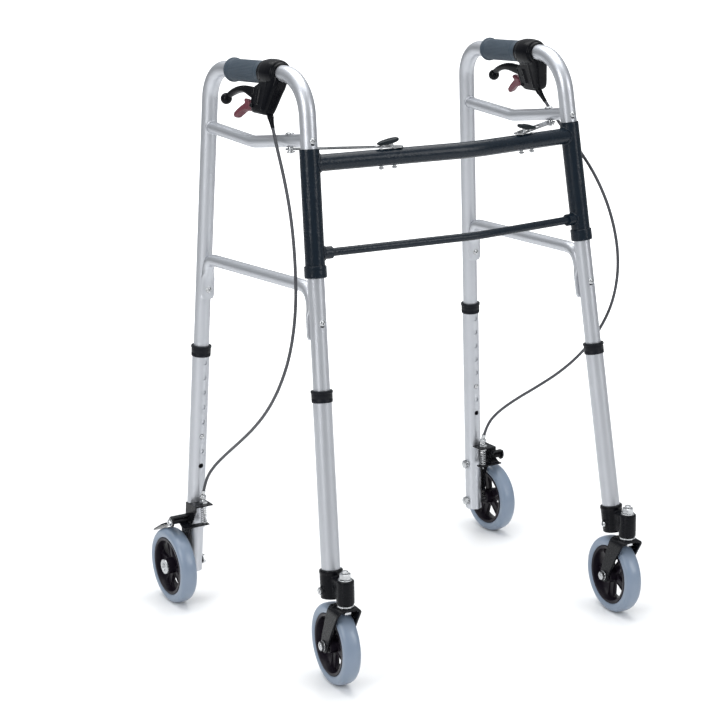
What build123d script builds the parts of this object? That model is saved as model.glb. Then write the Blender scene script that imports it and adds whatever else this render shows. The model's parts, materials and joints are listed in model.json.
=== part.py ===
from build123d import *
from math import atan2, cos, degrees, hypot, pi, radians, sin, tan
import os

# Walking frame with folding sides, swivelling front casters and braked rear wheels.
# Millimetres. +Z is up, the front faces -Y and the user stands at +Y.  The origin is
# on the floor, midway between the two sides.  Every side part is drawn for the left
# side (+X) and mirrored for the right side.

# ---- the plane that one side frame lies in: x = SIDE_X + SIDE_TOE * y + SIDE_LEAN * z
SIDE_X = 282.5
SIDE_TOE = 0.0335
SIDE_LEAN = -0.051

# ---- legs: where they meet the floor plane, and how far they lean for each mm of height
FRONT_Y = -234.7
FRONT_RAKE = 0.1511
REAR_Y = 218.6
REAR_RAKE = -0.0398
TUBE_R = 12.7
TUBE_WALL = 1.25
TUBE_END_Z = 250.0
OUTER_R = 14.3
OUTER_BORE_R = 12.9
FRONT_TUBE_TOP_Z = 446.0
FRONT_TUBE_END_Z = 141.0
REAR_TUBE_TOP_Z = 437.0
REAR_TUBE_END_Z = 49.0
COLLAR_R = 16.0
COLLAR_LENGTH = 18.0
COLLAR_LIP = 3.0

# ---- handle
HANDLE_REAR = (183.1, 892.1)
HANDLE_FRONT = (-97.7, 906.8)
REAR_BEND_R = 52.0
FRONT_BEND_R = 65.0
GRIP_REAR_Y = 112.0
GRIP_FRONT_Y = 15.0
GRIP_R = 17.0
GRIP_FLANGE_R = 19.0
GRIP_FLANGE = 4.0
GRIP_ROUND = 1.5

# ---- height adjustment: snap buttons in rows of holes
HOLE_PITCH = 25.4
HOLES_ABOVE = 5
HOLES_BELOW = 2
HOLE_R = 4.3
BUTTON_R = 3.9
BUTTON_PROUD = 3.4
REAR_BUTTON_Z = 285.8
FRONT_BUTTON_Z = 296.5

# ---- braces of one side
BRACE_R = 9.6
BRACE_WALL = 1.2
UPPER_BRACE_REAR_Z = 799.5
UPPER_BRACE_DIP = (45.0, 792.5)
UPPER_BRACE_FRONT_Z = 814.0
UPPER_BRACE_BEND_R = 60.0
LOWER_BRACE_REAR = (160.0, 586.5)
LOWER_BRACE_FRONT = (-106.0, 597.0)
LOWER_BRACE_BEND_R = 30.0
TAIL_TOP_Z = 562.0
TAIL_FLAT_Z = 556.0
TAIL_END_Z = 521.0
TAIL_WIDTH = 25.0
TAIL_THICK = 5.0
TAIL_SET = 14.6
RIVET_Z = (550.0, 536.0)
RIVET_R = 2.5
RIVET_HEAD_R = 5.0
RIVET_HEAD = 2.4
HEAD_SEAT = 0.3
DIMPLE = 0.7

# ---- front frame: two hinge sleeves and two crossbars
SLEEVE_R = 15.0
SLEEVE_BORE_R = 13.1
SLEEVE_TOP_Z = 801.0
SLEEVE_END_Z = 632.0
RING_R = 17.0
RING_END_Z = 614.0
UPPER_BAR_R = 12.7
UPPER_BAR_Z = 780.0
UPPER_BAR_BOW = 28.0
LOWER_BAR_R = 6.35
LOWER_BAR_Z = 649.0
LOWER_BAR_BOW = 24.0
STUB_R = 9.5
STUB_LENGTH = 13.0
BAR_WALL = 1.4
BOW_X = 32.0
BOW_R = 90.0

# ---- latch that holds a side open
LATCH_X = {"right": 112.0, "left": 144.0}
LATCH_PIN_GAP = 22.0
LATCH_PIN_R = 2.6
LATCH_PIN_DROP = 5.0
LINK_Z = 793.8
LINK_THICK = 1.8
LINK_WIDTH = 16.0
LINK_PIN_Y = -60.0
LINK_PIN_R = 4.0
LINK_PIN_PLAY = 0.6
TAB_LENGTH = 33.0
TAB_WIDTH = 15.0
TAB_HEIGHT = 7.0

# ---- wheels
WHEEL_R = 63.5
RIM_R = 49.0
TYRE_WIDTH = 28.0
RIM_WIDTH = 24.0
RIM_LIP = 5.0
WEB_THICK = 7.0
HUB_R = 13.5
HUB_WIDTH = 30.0
BEARING_R = 8.0
BEARING_WIDTH = 6.0
AXLE_R = 4.0
SPOKES = 5
SPOKE_WIDTH = 17.0
WINDOW_IN_R = 19.0

# ---- caster
SWIVEL_X = 267.0
SWIVEL_Y = -250.0
CASTER_TRAIL = 35.0
CASTER_TURN = 5.0
HEAD_R = 13.5
HEAD_TOP_Z = 178.0
HEAD_END_Z = 140.0
SOCKET_R = 17.5
SOCKET_TOP_Z = 182.0
SOCKET_FLOOR = 3.0
FORK_TOP_Z = 135.5
FORK_PLATE = 4.5
FORK_GAP = 33.0
FORK_WALL = 4.0

# ---- rear wheel and brake
REAR_WHEEL_X = 323.4
BRAKE_WIRE = (282.5, 181.0)
FLANGE_Z = 174.0
FLANGE_WIDTH = 24.0
SHEET = 2.0
PIVOT_Y = 199.0
PIVOT_Z = 146.0
BRACKET_BOLT_Z = 135.0
STRIP_Z = 137.5
PAD_GAP = 3.4

# ---- brake lever and its housing
HOUSING_X = 10.0
LEVER_PIVOT = (6.0, 866.0)
LOCK_PIVOT = (16.0, 848.0)
BALL = (115.0, 850.0)
BALL_R = 9.0
LEVER_THICK = 5.0
BRAKE_TILT = 13.0
CLAMP_Y = (14.4, -8.0, -33.0)
CLAMP_R = (19.0, 21.5, 16.0)
HOUSING_OUTLINE = [(13.5, 893.0), (13.5, 879.0), (26.5, 877.0), (25.0, 844.0), (19.0, 838.0), (-18.0, 838.0),
                   (-24.0, 845.0), (-43.0, 893.0)]
SLOT_OUTLINE = [(60.0, 884.5), (60.0, 826.0), (-14.0, 826.0), (-14.0, 884.5)]
SLOT_PLAY = 1.2
PIN_R = 2.5

# ---- brake cable: its route from the housing to the barrel on the rear leg
CABLE_R = 2.5
CABLE_WIRE_R = 0.8
GLAND_R = 4.2
GLAND_LENGTH = 14.0
CABLE_POINTS = [
    (250.0, -22.0, 834.0),
    (257.5, -50.5, 799.5),
    (269.0, -92.0, 759.5),
    (281.5, -133.0, 710.5),
    (292.0, -162.0, 649.0),
    (298.5, -173.5, 579.5),
    (301.0, -159.0, 510.5),
    (300.0, -123.5, 451.5),
    (297.5, -77.0, 401.0),
    (294.5, -23.5, 358.0),
    (290.5, 32.0, 321.0),
    (286.0, 86.5, 286.5),
    (283.5, 136.5, 251.5),
    (282.5, 170.5, 218.5),
    (282.5, 181.0, 190.0),
]


# ================================================================ shared helpers
def side_point(y, z):
    """A point in the side frame's plane."""
    return Vector(SIDE_X + SIDE_TOE * y + SIDE_LEAN * z, y, z)


def front_axis(z):
    """The centre of the front leg at a height."""
    return side_point(FRONT_Y + FRONT_RAKE * z, z)


def rear_axis(z):
    """The centre of the rear leg at a height."""
    return side_point(REAR_Y + REAR_RAKE * z, z)


FRONT_DIR = (front_axis(1.0) - front_axis(0.0)).normalized()
REAR_DIR = (rear_axis(1.0) - rear_axis(0.0)).normalized()
SIDE_NORMAL = Vector(1.0, -SIDE_TOE, -SIDE_LEAN).normalized()


def rod(start, end, radius, bore=0.0):
    """A straight round bar, or a tube if it has a bore."""
    a = Vector(start)
    b = Vector(end)
    face = Circle(radius) - Circle(bore) if bore else Circle(radius)
    return extrude(Plane(origin=a, z_dir=b - a) * face, amount=(b - a).length)


def bent(points, radii, radius, bore=0.0):
    """A round bar or tube that follows straight runs joined by bends."""
    path = FilletPolyline(*points, radius=radii)
    face = Circle(radius) - Circle(bore) if bore else Circle(radius)
    return sweep(Plane(origin=path @ 0, z_dir=path % 0) * face, path=path)


def dome(base, direction, radius, height):
    """A low rounded fastener head that stands on base."""
    plane = Plane(origin=Vector(base), z_dir=Vector(direction))
    head = extrude(plane * Circle(radius), amount=height)
    return fillet(head.edges().group_by(lambda e: (e.center() - plane.origin).dot(plane.z_dir))[-1],
                  height * 0.7)


def hexagon(base, direction, flats_r, height):
    """A hexagon head or nut that stands on base."""
    plane = Plane(origin=Vector(base), z_dir=Vector(direction))
    return extrude(plane * RegularPolygon(flats_r, 6, major_radius=False), amount=height)


def write(name, shapes):
    """Save the solids of one node."""
    solids = []
    for shape in shapes:
        solids.extend(shape.solids())
    export_step(solids[0] if len(solids) == 1 else Compound(children=solids), f"parts/{name}.step")


# ================================================================ side frame
def side_run(radius, bore=0.0):
    """Up the rear leg, along the handle and down the front leg."""
    points = [
        rear_axis(TUBE_END_Z),
        side_point(*HANDLE_REAR),
        side_point(*HANDLE_FRONT),
        front_axis(TUBE_END_Z),
    ]
    return bent(points, [REAR_BEND_R, FRONT_BEND_R], radius, bore)


def side_tube():
    tube = side_run(TUBE_R, TUBE_R - TUBE_WALL)
    rear_hole = rear_axis(REAR_BUTTON_Z)
    front_hole = front_axis(FRONT_BUTTON_Z)
    tube -= rod(rear_hole, rear_hole + Vector(0, -2 * TUBE_R, 0), HOLE_R)
    tube -= rod(front_hole, front_hole + Vector(0, 2 * TUBE_R, 0), HOLE_R)
    for shank in fastener_shanks(RIVET_R + 0.1):
        tube -= shank
    for base, way, _ in fastener_lines()[:2]:
        tube -= rod(base - way * 5, base + way * DIMPLE, RIVET_HEAD_R + 1.5)
    return [tube]


def upper_brace_points():
    return [
        rear_axis(UPPER_BRACE_REAR_Z),
        side_point(*UPPER_BRACE_DIP),
        front_axis(UPPER_BRACE_FRONT_Z),
    ]


def upper_brace_at(y):
    """The centre of the front half of the upper brace."""
    _, low, high = upper_brace_points()
    share = (y - low.Y) / (high.Y - low.Y)
    return low + (high - low) * share


def upper_brace():
    brace = bent(upper_brace_points(), [UPPER_BRACE_BEND_R], BRACE_R, BRACE_R - BRACE_WALL)
    brace -= rod(rear_axis(700), rear_axis(880), TUBE_R + 0.02)
    brace -= rod(front_axis(700), front_axis(880), TUBE_R + 0.02)
    pin = upper_brace_at(LINK_PIN_Y)
    brace -= rod(pin - FRONT_DIR * 20, pin + FRONT_DIR * 20, LINK_PIN_R + 0.05)
    shape = max(brace.solids(), key=lambda s: s.volume)
    return [shape]


def tail(axis_at, direction, sign):
    """The flattened end of the lower brace, lying along a leg.  sign is the side of the leg."""
    def centre(z):
        return axis_at(z) + Vector(0, sign * TAIL_SET, 0)

    round_end = Plane(origin=centre(TAIL_TOP_Z), x_dir=(1, 0, 0), z_dir=direction * -1)
    flat_end = Plane(origin=centre(TAIL_FLAT_Z), x_dir=(1, 0, 0), z_dir=direction * -1)
    neck = loft([round_end * Circle(BRACE_R), flat_end * Ellipse(TAIL_WIDTH / 2, TAIL_THICK)])
    length = (centre(TAIL_FLAT_Z) - centre(TAIL_END_Z)).length
    blade = extrude(flat_end * Ellipse(TAIL_WIDTH / 2, TAIL_THICK), amount=length)
    return neck + blade


def lower_brace():
    front_top = front_axis(TAIL_TOP_Z) + Vector(0, TAIL_SET, 0)
    rear_top = rear_axis(TAIL_TOP_Z) - Vector(0, TAIL_SET, 0)
    front_corner = front_axis(LOWER_BRACE_FRONT[1]) + Vector(0, TAIL_SET, 0)
    rear_corner = rear_axis(LOWER_BRACE_REAR[1]) - Vector(0, TAIL_SET, 0)
    points = [rear_top, rear_corner, front_corner, front_top]
    bends = [min(LOWER_BRACE_BEND_R, 22.0), LOWER_BRACE_BEND_R]
    brace = bent(points, bends, BRACE_R, BRACE_R - BRACE_WALL)
    brace += tail(rear_axis, REAR_DIR, -1)
    brace += tail(front_axis, FRONT_DIR, 1)
    brace -= rod(rear_axis(450), rear_axis(700), TUBE_R + 0.02)
    brace -= rod(front_axis(450), front_axis(700), TUBE_R + 0.02)
    for base, way, length in fastener_lines():
        brace -= rod(base - way * RIVET_HEAD * 2, base + way * length, RIVET_R + 0.1)
    return [max(brace.solids(), key=lambda s: s.volume)]


def fastener_lines():
    """Where the fasteners of a side frame start and end: the upper brace screw and two rivets."""
    screw = front_axis(UPPER_BRACE_FRONT_Z)
    rivet_front = front_axis(RIVET_Z[0])
    rivet_rear = rear_axis(RIVET_Z[1])
    tail_face = TAIL_SET + TAIL_THICK
    return [
        (screw + Vector(0, -TUBE_R, 0), Vector(0, 1, 0), 34.0),
        (rivet_front + Vector(0, -TUBE_R, 0), Vector(0, 1, 0), 30.0),
        (rivet_rear + Vector(0, -tail_face - HEAD_SEAT, 0), Vector(0, 1, 0), 22.0 + HEAD_SEAT),
    ]


def fastener_shanks(radius):
    return [rod(base, base + way * length, radius) for base, way, length in fastener_lines()]


def side_fasteners():
    """Brace screw, two rivets, the latch pin with its spacer, and the lever and lock pins."""
    shapes = []
    for base, way, length in fastener_lines():
        shank = rod(base, base + way * length, RIVET_R)
        shapes.append(shank + dome(base, way * -1, RIVET_HEAD_R, RIVET_HEAD))
    centre = upper_brace_at(LINK_PIN_Y)
    top = centre + FRONT_DIR * (BRACE_R + 0.3)
    foot = link_pin_foot()
    pin = rod(foot, top, LINK_PIN_R) + rod(top, top + FRONT_DIR * 2.5, LINK_PIN_R + 3)
    pin += rod(foot, foot + FRONT_DIR * 2.2, LINK_PIN_R + 2.4)
    shapes.append(pin)
    for pivot in (LEVER_PIVOT, LOCK_PIVOT):
        middle = side_point(*pivot)
        reach = SIDE_NORMAL * (HOUSING_X + 0.8)
        shapes.append(tilted(rod(middle - reach, middle + reach, PIN_R)))
    return shapes


def link_pin_foot():
    """The lower end of the latch pin, under the link."""
    centre = upper_brace_at(LINK_PIN_Y)
    return centre - FRONT_DIR * (centre.Z - LINK_Z + 4.6)


def handle_at(y):
    """The centre of the handle at a distance along it."""
    rear = side_point(*HANDLE_REAR)
    front = side_point(*HANDLE_FRONT)
    return rear + (front - rear) * ((y - rear.Y) / (front.Y - rear.Y))


def hand_grip():
    start = handle_at(GRIP_REAR_Y)
    end = handle_at(GRIP_FRONT_Y)
    body = rod(start, end, GRIP_R)
    flange = rod(start, start + (end - start).normalized() * GRIP_FLANGE, GRIP_FLANGE_R)
    flange = fillet(flange.edges().filter_by(GeomType.CIRCLE), GRIP_ROUND)
    grip = body + flange
    return [grip - rod(start - (end - start), end + (end - start), TUBE_R + 0.02)]


def tilted(shape):
    """The brake unit is clamped a little turned outwards round the handle."""
    rear = handle_at(GRIP_REAR_Y)
    return shape.rotate(Axis(rear, rear - handle_at(GRIP_FRONT_Y)), -BRAKE_TILT)


def brake_housing():
    """The clamp round the handle and the body that carries the lever and the parking lock."""
    along = (handle_at(CLAMP_Y[-1]) - handle_at(CLAMP_Y[0])).normalized()
    clamp = loft([Plane(origin=handle_at(y), z_dir=along) * Circle(r) for y, r in zip(CLAMP_Y, CLAMP_R)])
    body = extrude(in_side(HOUSING_OUTLINE), amount=HOUSING_X, both=True)
    slot = extrude(in_side(SLOT_OUTLINE), amount=LEVER_THICK / 2 + SLOT_PLAY, both=True)
    housing = clamp + body - slot
    for pivot in (LEVER_PIVOT, LOCK_PIVOT):
        point = side_point(*pivot)
        housing -= rod(point - SIDE_NORMAL * 20, point + SIDE_NORMAL * 20, PIN_R + 0.05)
    housing = tilted(housing) - side_run(TUBE_R + 0.02)
    exit_point = Vector(CABLE_POINTS[0])
    back = (exit_point - Vector(CABLE_POINTS[1])).normalized()
    housing += rod(exit_point, exit_point + back * GLAND_LENGTH, GLAND_R)
    return [max(housing.solids(), key=lambda s: s.volume)]


# ================================================================ brake cable
def cable_radii():
    """Bend radii that leave a short straight run between one arc and the next."""
    radii = []
    points = [Vector(p) for p in CABLE_POINTS]
    for before, here, after in zip(points, points[1:], points[2:]):
        run_in = (here - before).length
        run_out = (after - here).length
        half_turn = (here - before).get_angle(after - here) / 2
        radii.append(0.45 * min(run_in, run_out) / tan(radians(half_turn)))
    return radii


def brake_cable():
    radii = cable_radii()
    print("cable bend radii", [round(r) for r in radii])
    path = FilletPolyline(*CABLE_POINTS, radius=radii)
    cable = sweep(Plane(origin=path @ 0, z_dir=path % 0) * Circle(CABLE_R), path=path)
    print("cable length", round(path.length), "volume ratio", cable.volume / (pi * CABLE_R ** 2 * path.length))
    return [cable]


# ================================================================ telescoping legs
def outer_tube(axis_at, top_z, end_z, button_z, way):
    tube = rod(axis_at(end_z), axis_at(top_z), OUTER_R, OUTER_BORE_R)
    step = (axis_at(1.0) - axis_at(0.0)).normalized() * HOLE_PITCH
    for index in range(-HOLES_BELOW, HOLES_ABOVE + 1):
        middle = axis_at(button_z) + step * index
        tube -= rod(middle, middle + Vector(0, way * 2 * OUTER_R, 0), HOLE_R)
    return tube


def collar(axis_at, top_z):
    direction = (axis_at(1.0) - axis_at(0.0)).normalized()
    top = axis_at(top_z) + direction * COLLAR_LIP
    base = top - direction * COLLAR_LENGTH
    ring = rod(base, top, COLLAR_R)
    ring = fillet(ring.edges().filter_by(GeomType.CIRCLE), 1.2)
    ring -= rod(axis_at(top_z - 60), axis_at(top_z), OUTER_R + 0.02)
    return [ring - rod(axis_at(top_z - 60), axis_at(top_z + 60), OUTER_BORE_R)]


def front_leg():
    tube = outer_tube(front_axis, FRONT_TUBE_TOP_Z, FRONT_TUBE_END_Z, FRONT_BUTTON_Z, 1)
    bolt = front_axis(152.0)
    tube -= rod(bolt - Vector(40, 0, 0), bolt + Vector(40, 0, 0), 3.05)
    return [tube]


def rear_leg():
    tube = outer_tube(rear_axis, REAR_TUBE_TOP_Z, REAR_TUBE_END_Z, REAR_BUTTON_Z, -1)
    for z in (WHEEL_R, BRACKET_BOLT_Z):
        tube -= rod(rear_axis(z) - Vector(40, 0, 0), rear_axis(z) + Vector(40, 0, 0), AXLE_R + 0.05)
    return [tube]


def snap_button(axis_at, z, way):
    """The round button, its leaf spring and the spring's foot, all inside the side tube."""
    middle = axis_at(z)
    face = Vector(0, way * (OUTER_R + BUTTON_PROUD - 1.4), 0)
    inner = Vector(0, way * 4.0, 0)
    button = rod(middle + inner, middle + face, BUTTON_R)
    button = fillet(button.edges().filter_by(GeomType.CIRCLE).sort_by(Axis.Y)[-1 if way > 0 else 0], 1.5)
    return [button]


# ================================================================ caster
def caster_bracket():
    """The socket on the leg end, the head that holds the swivel, and the web between them."""
    bottom = front_axis(FRONT_TUBE_END_Z) - FRONT_DIR * SOCKET_FLOOR
    socket = rod(bottom, front_axis(SOCKET_TOP_Z), SOCKET_R)
    socket = fillet(socket.edges().filter_by(GeomType.CIRCLE), 1.4)
    head = rod((SWIVEL_X, SWIVEL_Y, HEAD_END_Z), (SWIVEL_X, SWIVEL_Y, HEAD_TOP_Z), HEAD_R)
    head = fillet(head.edges().filter_by(GeomType.CIRCLE), 1.4)
    leg = front_axis(158.0)
    web = Pos(SWIVEL_X, (SWIVEL_Y + leg.Y) / 2, 159.0) * Box(16, leg.Y - SWIVEL_Y, 32)
    bracket = socket + head + web
    bracket -= rod(front_axis(FRONT_TUBE_END_Z), front_axis(220.0), OUTER_R + 0.02)
    bracket -= rod((SWIVEL_X, SWIVEL_Y, 120.0), (SWIVEL_X, SWIVEL_Y, 200.0), 5.1)
    bolt = front_axis(152.0)
    bracket -= rod(bolt - Vector(40, 0, 0), bolt + Vector(40, 0, 0), 3.05)
    cross = rod(bolt - Vector(SOCKET_R, 0, 0), bolt + Vector(SOCKET_R, 0, 0), 3.0)
    cross += hexagon(bolt - Vector(SOCKET_R, 0, 0), (-1, 0, 0), 5.0, 3.5)
    cross += hexagon(bolt + Vector(SOCKET_R, 0, 0), (1, 0, 0), 5.0, 3.5)
    return [bracket, cross]


def caster_fork():
    top = Pos(SWIVEL_X, SWIVEL_Y + 6, FORK_TOP_Z - FORK_PLATE / 2)
    plate = top * Box(FORK_GAP + 2 * FORK_WALL, 44, FORK_PLATE)
    plate = fillet(plate.edges().filter_by(Axis.Z), 10)
    axle_y = SWIVEL_Y + CASTER_TRAIL
    outline = Polyline((SWIVEL_Y - 12, FORK_TOP_Z), (SWIVEL_Y + 24, FORK_TOP_Z), (axle_y + 12, WHEEL_R + 4),
                       (axle_y + 9, WHEEL_R - 9), (axle_y - 9, WHEEL_R - 9), (axle_y - 13, WHEEL_R + 4), close=True)
    arm = extrude(Plane.YZ * make_face(outline), amount=FORK_WALL)
    arm = fillet(arm.edges().filter_by(Axis.X), 4)
    fork = plate
    for x in (SWIVEL_X - FORK_GAP / 2 - FORK_WALL, SWIVEL_X + FORK_GAP / 2):
        fork += Pos(x, 0, 0) * arm
    fork -= rod((SWIVEL_X, SWIVEL_Y, 100.0), (SWIVEL_X, SWIVEL_Y, 200.0), 5.1)
    fork -= rod((SWIVEL_X - 40, axle_y, WHEEL_R), (SWIVEL_X + 40, axle_y, WHEEL_R), AXLE_R + 0.05)
    return [fork]


def caster_hardware():
    """Stem bolt with its nut, the thrust washer, and the wheel's axle bolt with its nut."""
    stem_base = FORK_TOP_Z - FORK_PLATE - 2.5
    stem = rod((SWIVEL_X, SWIVEL_Y, stem_base), (SWIVEL_X, SWIVEL_Y, HEAD_TOP_Z + 13), 5.0)
    stem += rod((SWIVEL_X, SWIVEL_Y, stem_base), (SWIVEL_X, SWIVEL_Y, stem_base + 2.4), 9.0)
    nut = hexagon((SWIVEL_X, SWIVEL_Y, HEAD_TOP_Z + 2.0), (0, 0, 1), 8.0, 8.0)
    washer_top = rod((SWIVEL_X, SWIVEL_Y, HEAD_TOP_Z + 0.3), (SWIVEL_X, SWIVEL_Y, HEAD_TOP_Z + 1.9), 10.5)
    washer_low = rod((SWIVEL_X, SWIVEL_Y, FORK_TOP_Z + 0.1), (SWIVEL_X, SWIVEL_Y, HEAD_END_Z - 0.3), 12.5)
    hole = rod((SWIVEL_X, SWIVEL_Y, 100.0), (SWIVEL_X, SWIVEL_Y, 220.0), 5.05)
    axle_y = SWIVEL_Y + CASTER_TRAIL
    reach = FORK_GAP / 2 + FORK_WALL
    left = Vector(SWIVEL_X + reach, axle_y, WHEEL_R)
    right = Vector(SWIVEL_X - reach, axle_y, WHEEL_R)
    axle = rod(right, left, AXLE_R)
    axle += hexagon(left, (1, 0, 0), 6.5, 5.0)
    axle += hexagon(right, (-1, 0, 0), 6.5, 5.0)
    return [stem, nut - hole, washer_top - hole, washer_low - hole, axle]


def turned(shapes, name):
    """Turn the caster a little about its swivel, as it stands after the frame has rolled."""
    x = SWIVEL_X if name == "left" else -SWIVEL_X
    swivel = Axis((x, SWIVEL_Y, 0), (0, 0, 1))
    return [shape.rotate(swivel, -CASTER_TURN) for shape in shapes]


# ================================================================ wheels, axle along X at centre
def rim(centre):
    """The moulded rim: lips, web with windows, and hub with bearings' seats."""
    half = RIM_WIDTH / 2
    profile = Polyline((-half, RIM_R - RIM_LIP), (-half, RIM_R), (-half + 4, RIM_R), (-half + 7, RIM_R - 2),
                       (half - 7, RIM_R - 2), (half - 4, RIM_R), (half, RIM_R), (half, RIM_R - RIM_LIP),
                       (WEB_THICK / 2, RIM_R - RIM_LIP - 3), (-WEB_THICK / 2, RIM_R - RIM_LIP - 3), close=True)
    ring = revolve(make_face(profile), Axis.X)
    web = rod((-WEB_THICK / 2, 0, 0), (WEB_THICK / 2, 0, 0), RIM_R - RIM_LIP - 2)
    hub = rod((-HUB_WIDTH / 2, 0, 0), (HUB_WIDTH / 2, 0, 0), HUB_R)
    window_out = RIM_R - RIM_LIP - 5
    band = rod((-20, 0, 0), (20, 0, 0), window_out, WINDOW_IN_R)
    for index in range(SPOKES):
        spoke = Rot(X=index * 360 / SPOKES) * Pos(0, 0, 30) * Box(60, SPOKE_WIDTH, 60)
        band -= spoke
    web -= fillet(band.edges().filter_by(Axis.X), 3)
    wheel = ring + web + hub
    for index in range(SPOKES):
        for offset in (-SPOKE_WIDTH / 2 + 1.2, 0, SPOKE_WIDTH / 2 - 1.2):
            length = RIM_R - RIM_LIP - HUB_R
            rib = Pos(0, offset, HUB_R + length / 2 - 1) * Box(RIM_WIDTH - 6, 2.0, length)
            wheel += Rot(X=index * 360 / SPOKES) * rib
    wheel -= rod((-40, 0, 0), (40, 0, 0), AXLE_R + 0.3)
    for sign in (-1, 1):
        end = sign * (HUB_WIDTH / 2 + 1)
        wheel -= rod((end, 0, 0), (end - sign * (BEARING_WIDTH + 1), 0, 0), BEARING_R)
    return [Pos(*centre) * wheel]


def bearings(centre):
    """Two small ball bearings pressed in the hub."""
    shapes = []
    for sign in (-1, 1):
        start = sign * HUB_WIDTH / 2
        ring = rod((start, 0, 0), (start - sign * BEARING_WIDTH, 0, 0), BEARING_R, AXLE_R + 0.15)
        shapes.append(Pos(*centre) * ring)
    return shapes


def tyre(centre):
    """A solid tyre with a flat tread and round shoulders."""
    half = TYRE_WIDTH / 2
    section = make_face(Polyline(
        (-half, RIM_R - 1), (-half, WHEEL_R - 7), (-half + 7, WHEEL_R), (half - 7, WHEEL_R),
        (half, WHEEL_R - 7), (half, RIM_R - 1), (half - 2, RIM_R), (-half + 2, RIM_R), close=True))
    ring = revolve(section, Axis.X)
    corners = [e for e in ring.edges().filter_by(GeomType.CIRCLE) if e.radius > WHEEL_R - 8]
    ring = fillet(corners, 5.5)
    solid = revolve(make_face(Polyline(
        (-half - 1, 0), (-half - 1, RIM_R), (half + 1, RIM_R), (half + 1, 0), close=True)), Axis.X)
    return [Pos(*centre) * (ring - solid)]


# ================================================================ rear wheel mounting and brake
def rear_axle():
    leg = rear_axis(WHEEL_R)
    return Vector(REAR_WHEEL_X, leg.Y, WHEEL_R)


def brake_bracket():
    """Pressed steel bracket: top flange for the barrel, side plate on the leg, and pivot ears."""
    leg = rear_axis(BRACKET_BOLT_Z)
    plate_x = rear_axis(WHEEL_R + 6).X + OUTER_R + 0.3
    top_x, wire_y = BRAKE_WIRE
    outline = Polyline((wire_y - 11, FLANGE_Z), (wire_y - 11, FLANGE_Z - 8), (PIVOT_Y - 9, PIVOT_Z - 8),
                       (leg.Y - 12, PIVOT_Z - 30), (leg.Y - 11, WHEEL_R + 16), (leg.Y + 11, WHEEL_R + 16),
                       (leg.Y + 12, PIVOT_Z - 8), (PIVOT_Y + 9, PIVOT_Z + 6), (leg.Y - 8, FLANGE_Z), close=True)
    plate = Pos(plate_x, 0, 0) * extrude(Plane.YZ * make_face(outline), amount=SHEET)
    flange_x = (plate_x + SHEET + top_x - FLANGE_WIDTH / 2) / 2
    width = plate_x + SHEET - (top_x - FLANGE_WIDTH / 2)
    flange = Pos(flange_x, (wire_y - 11 + leg.Y - 17) / 2, FLANGE_Z - SHEET / 2) * Box(
        width, leg.Y - 17 - wire_y + 11, SHEET)
    ear_x = REAR_WHEEL_X + 10
    ear = Pos(ear_x, PIVOT_Y, PIVOT_Z) * Rot(Y=90) * Cylinder(8.5, SHEET)
    bridge = Pos((plate_x + ear_x) / 2, PIVOT_Y - 3, PIVOT_Z + 8.5) * Box(ear_x - plate_x + SHEET, 10, SHEET)
    ear += Pos(ear_x, PIVOT_Y - 3, PIVOT_Z + 4.5) * Box(SHEET, 10, 9)
    bracket = plate + flange + bridge + ear
    bracket -= rod((top_x, wire_y, FLANGE_Z - 20), (top_x, wire_y, FLANGE_Z + 20), 3.6)
    bracket -= rod((plate_x - 30, PIVOT_Y, PIVOT_Z), (ear_x + 30, PIVOT_Y, PIVOT_Z), 2.55)
    bolt = rear_axis(BRACKET_BOLT_Z)
    bracket -= rod(bolt, bolt + Vector(60, 0, 0), AXLE_R + 0.05)
    bracket -= rod(rear_axis(20), rear_axis(220), OUTER_R + 0.05)
    return [max(bracket.solids(), key=lambda s: s.volume)]


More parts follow.
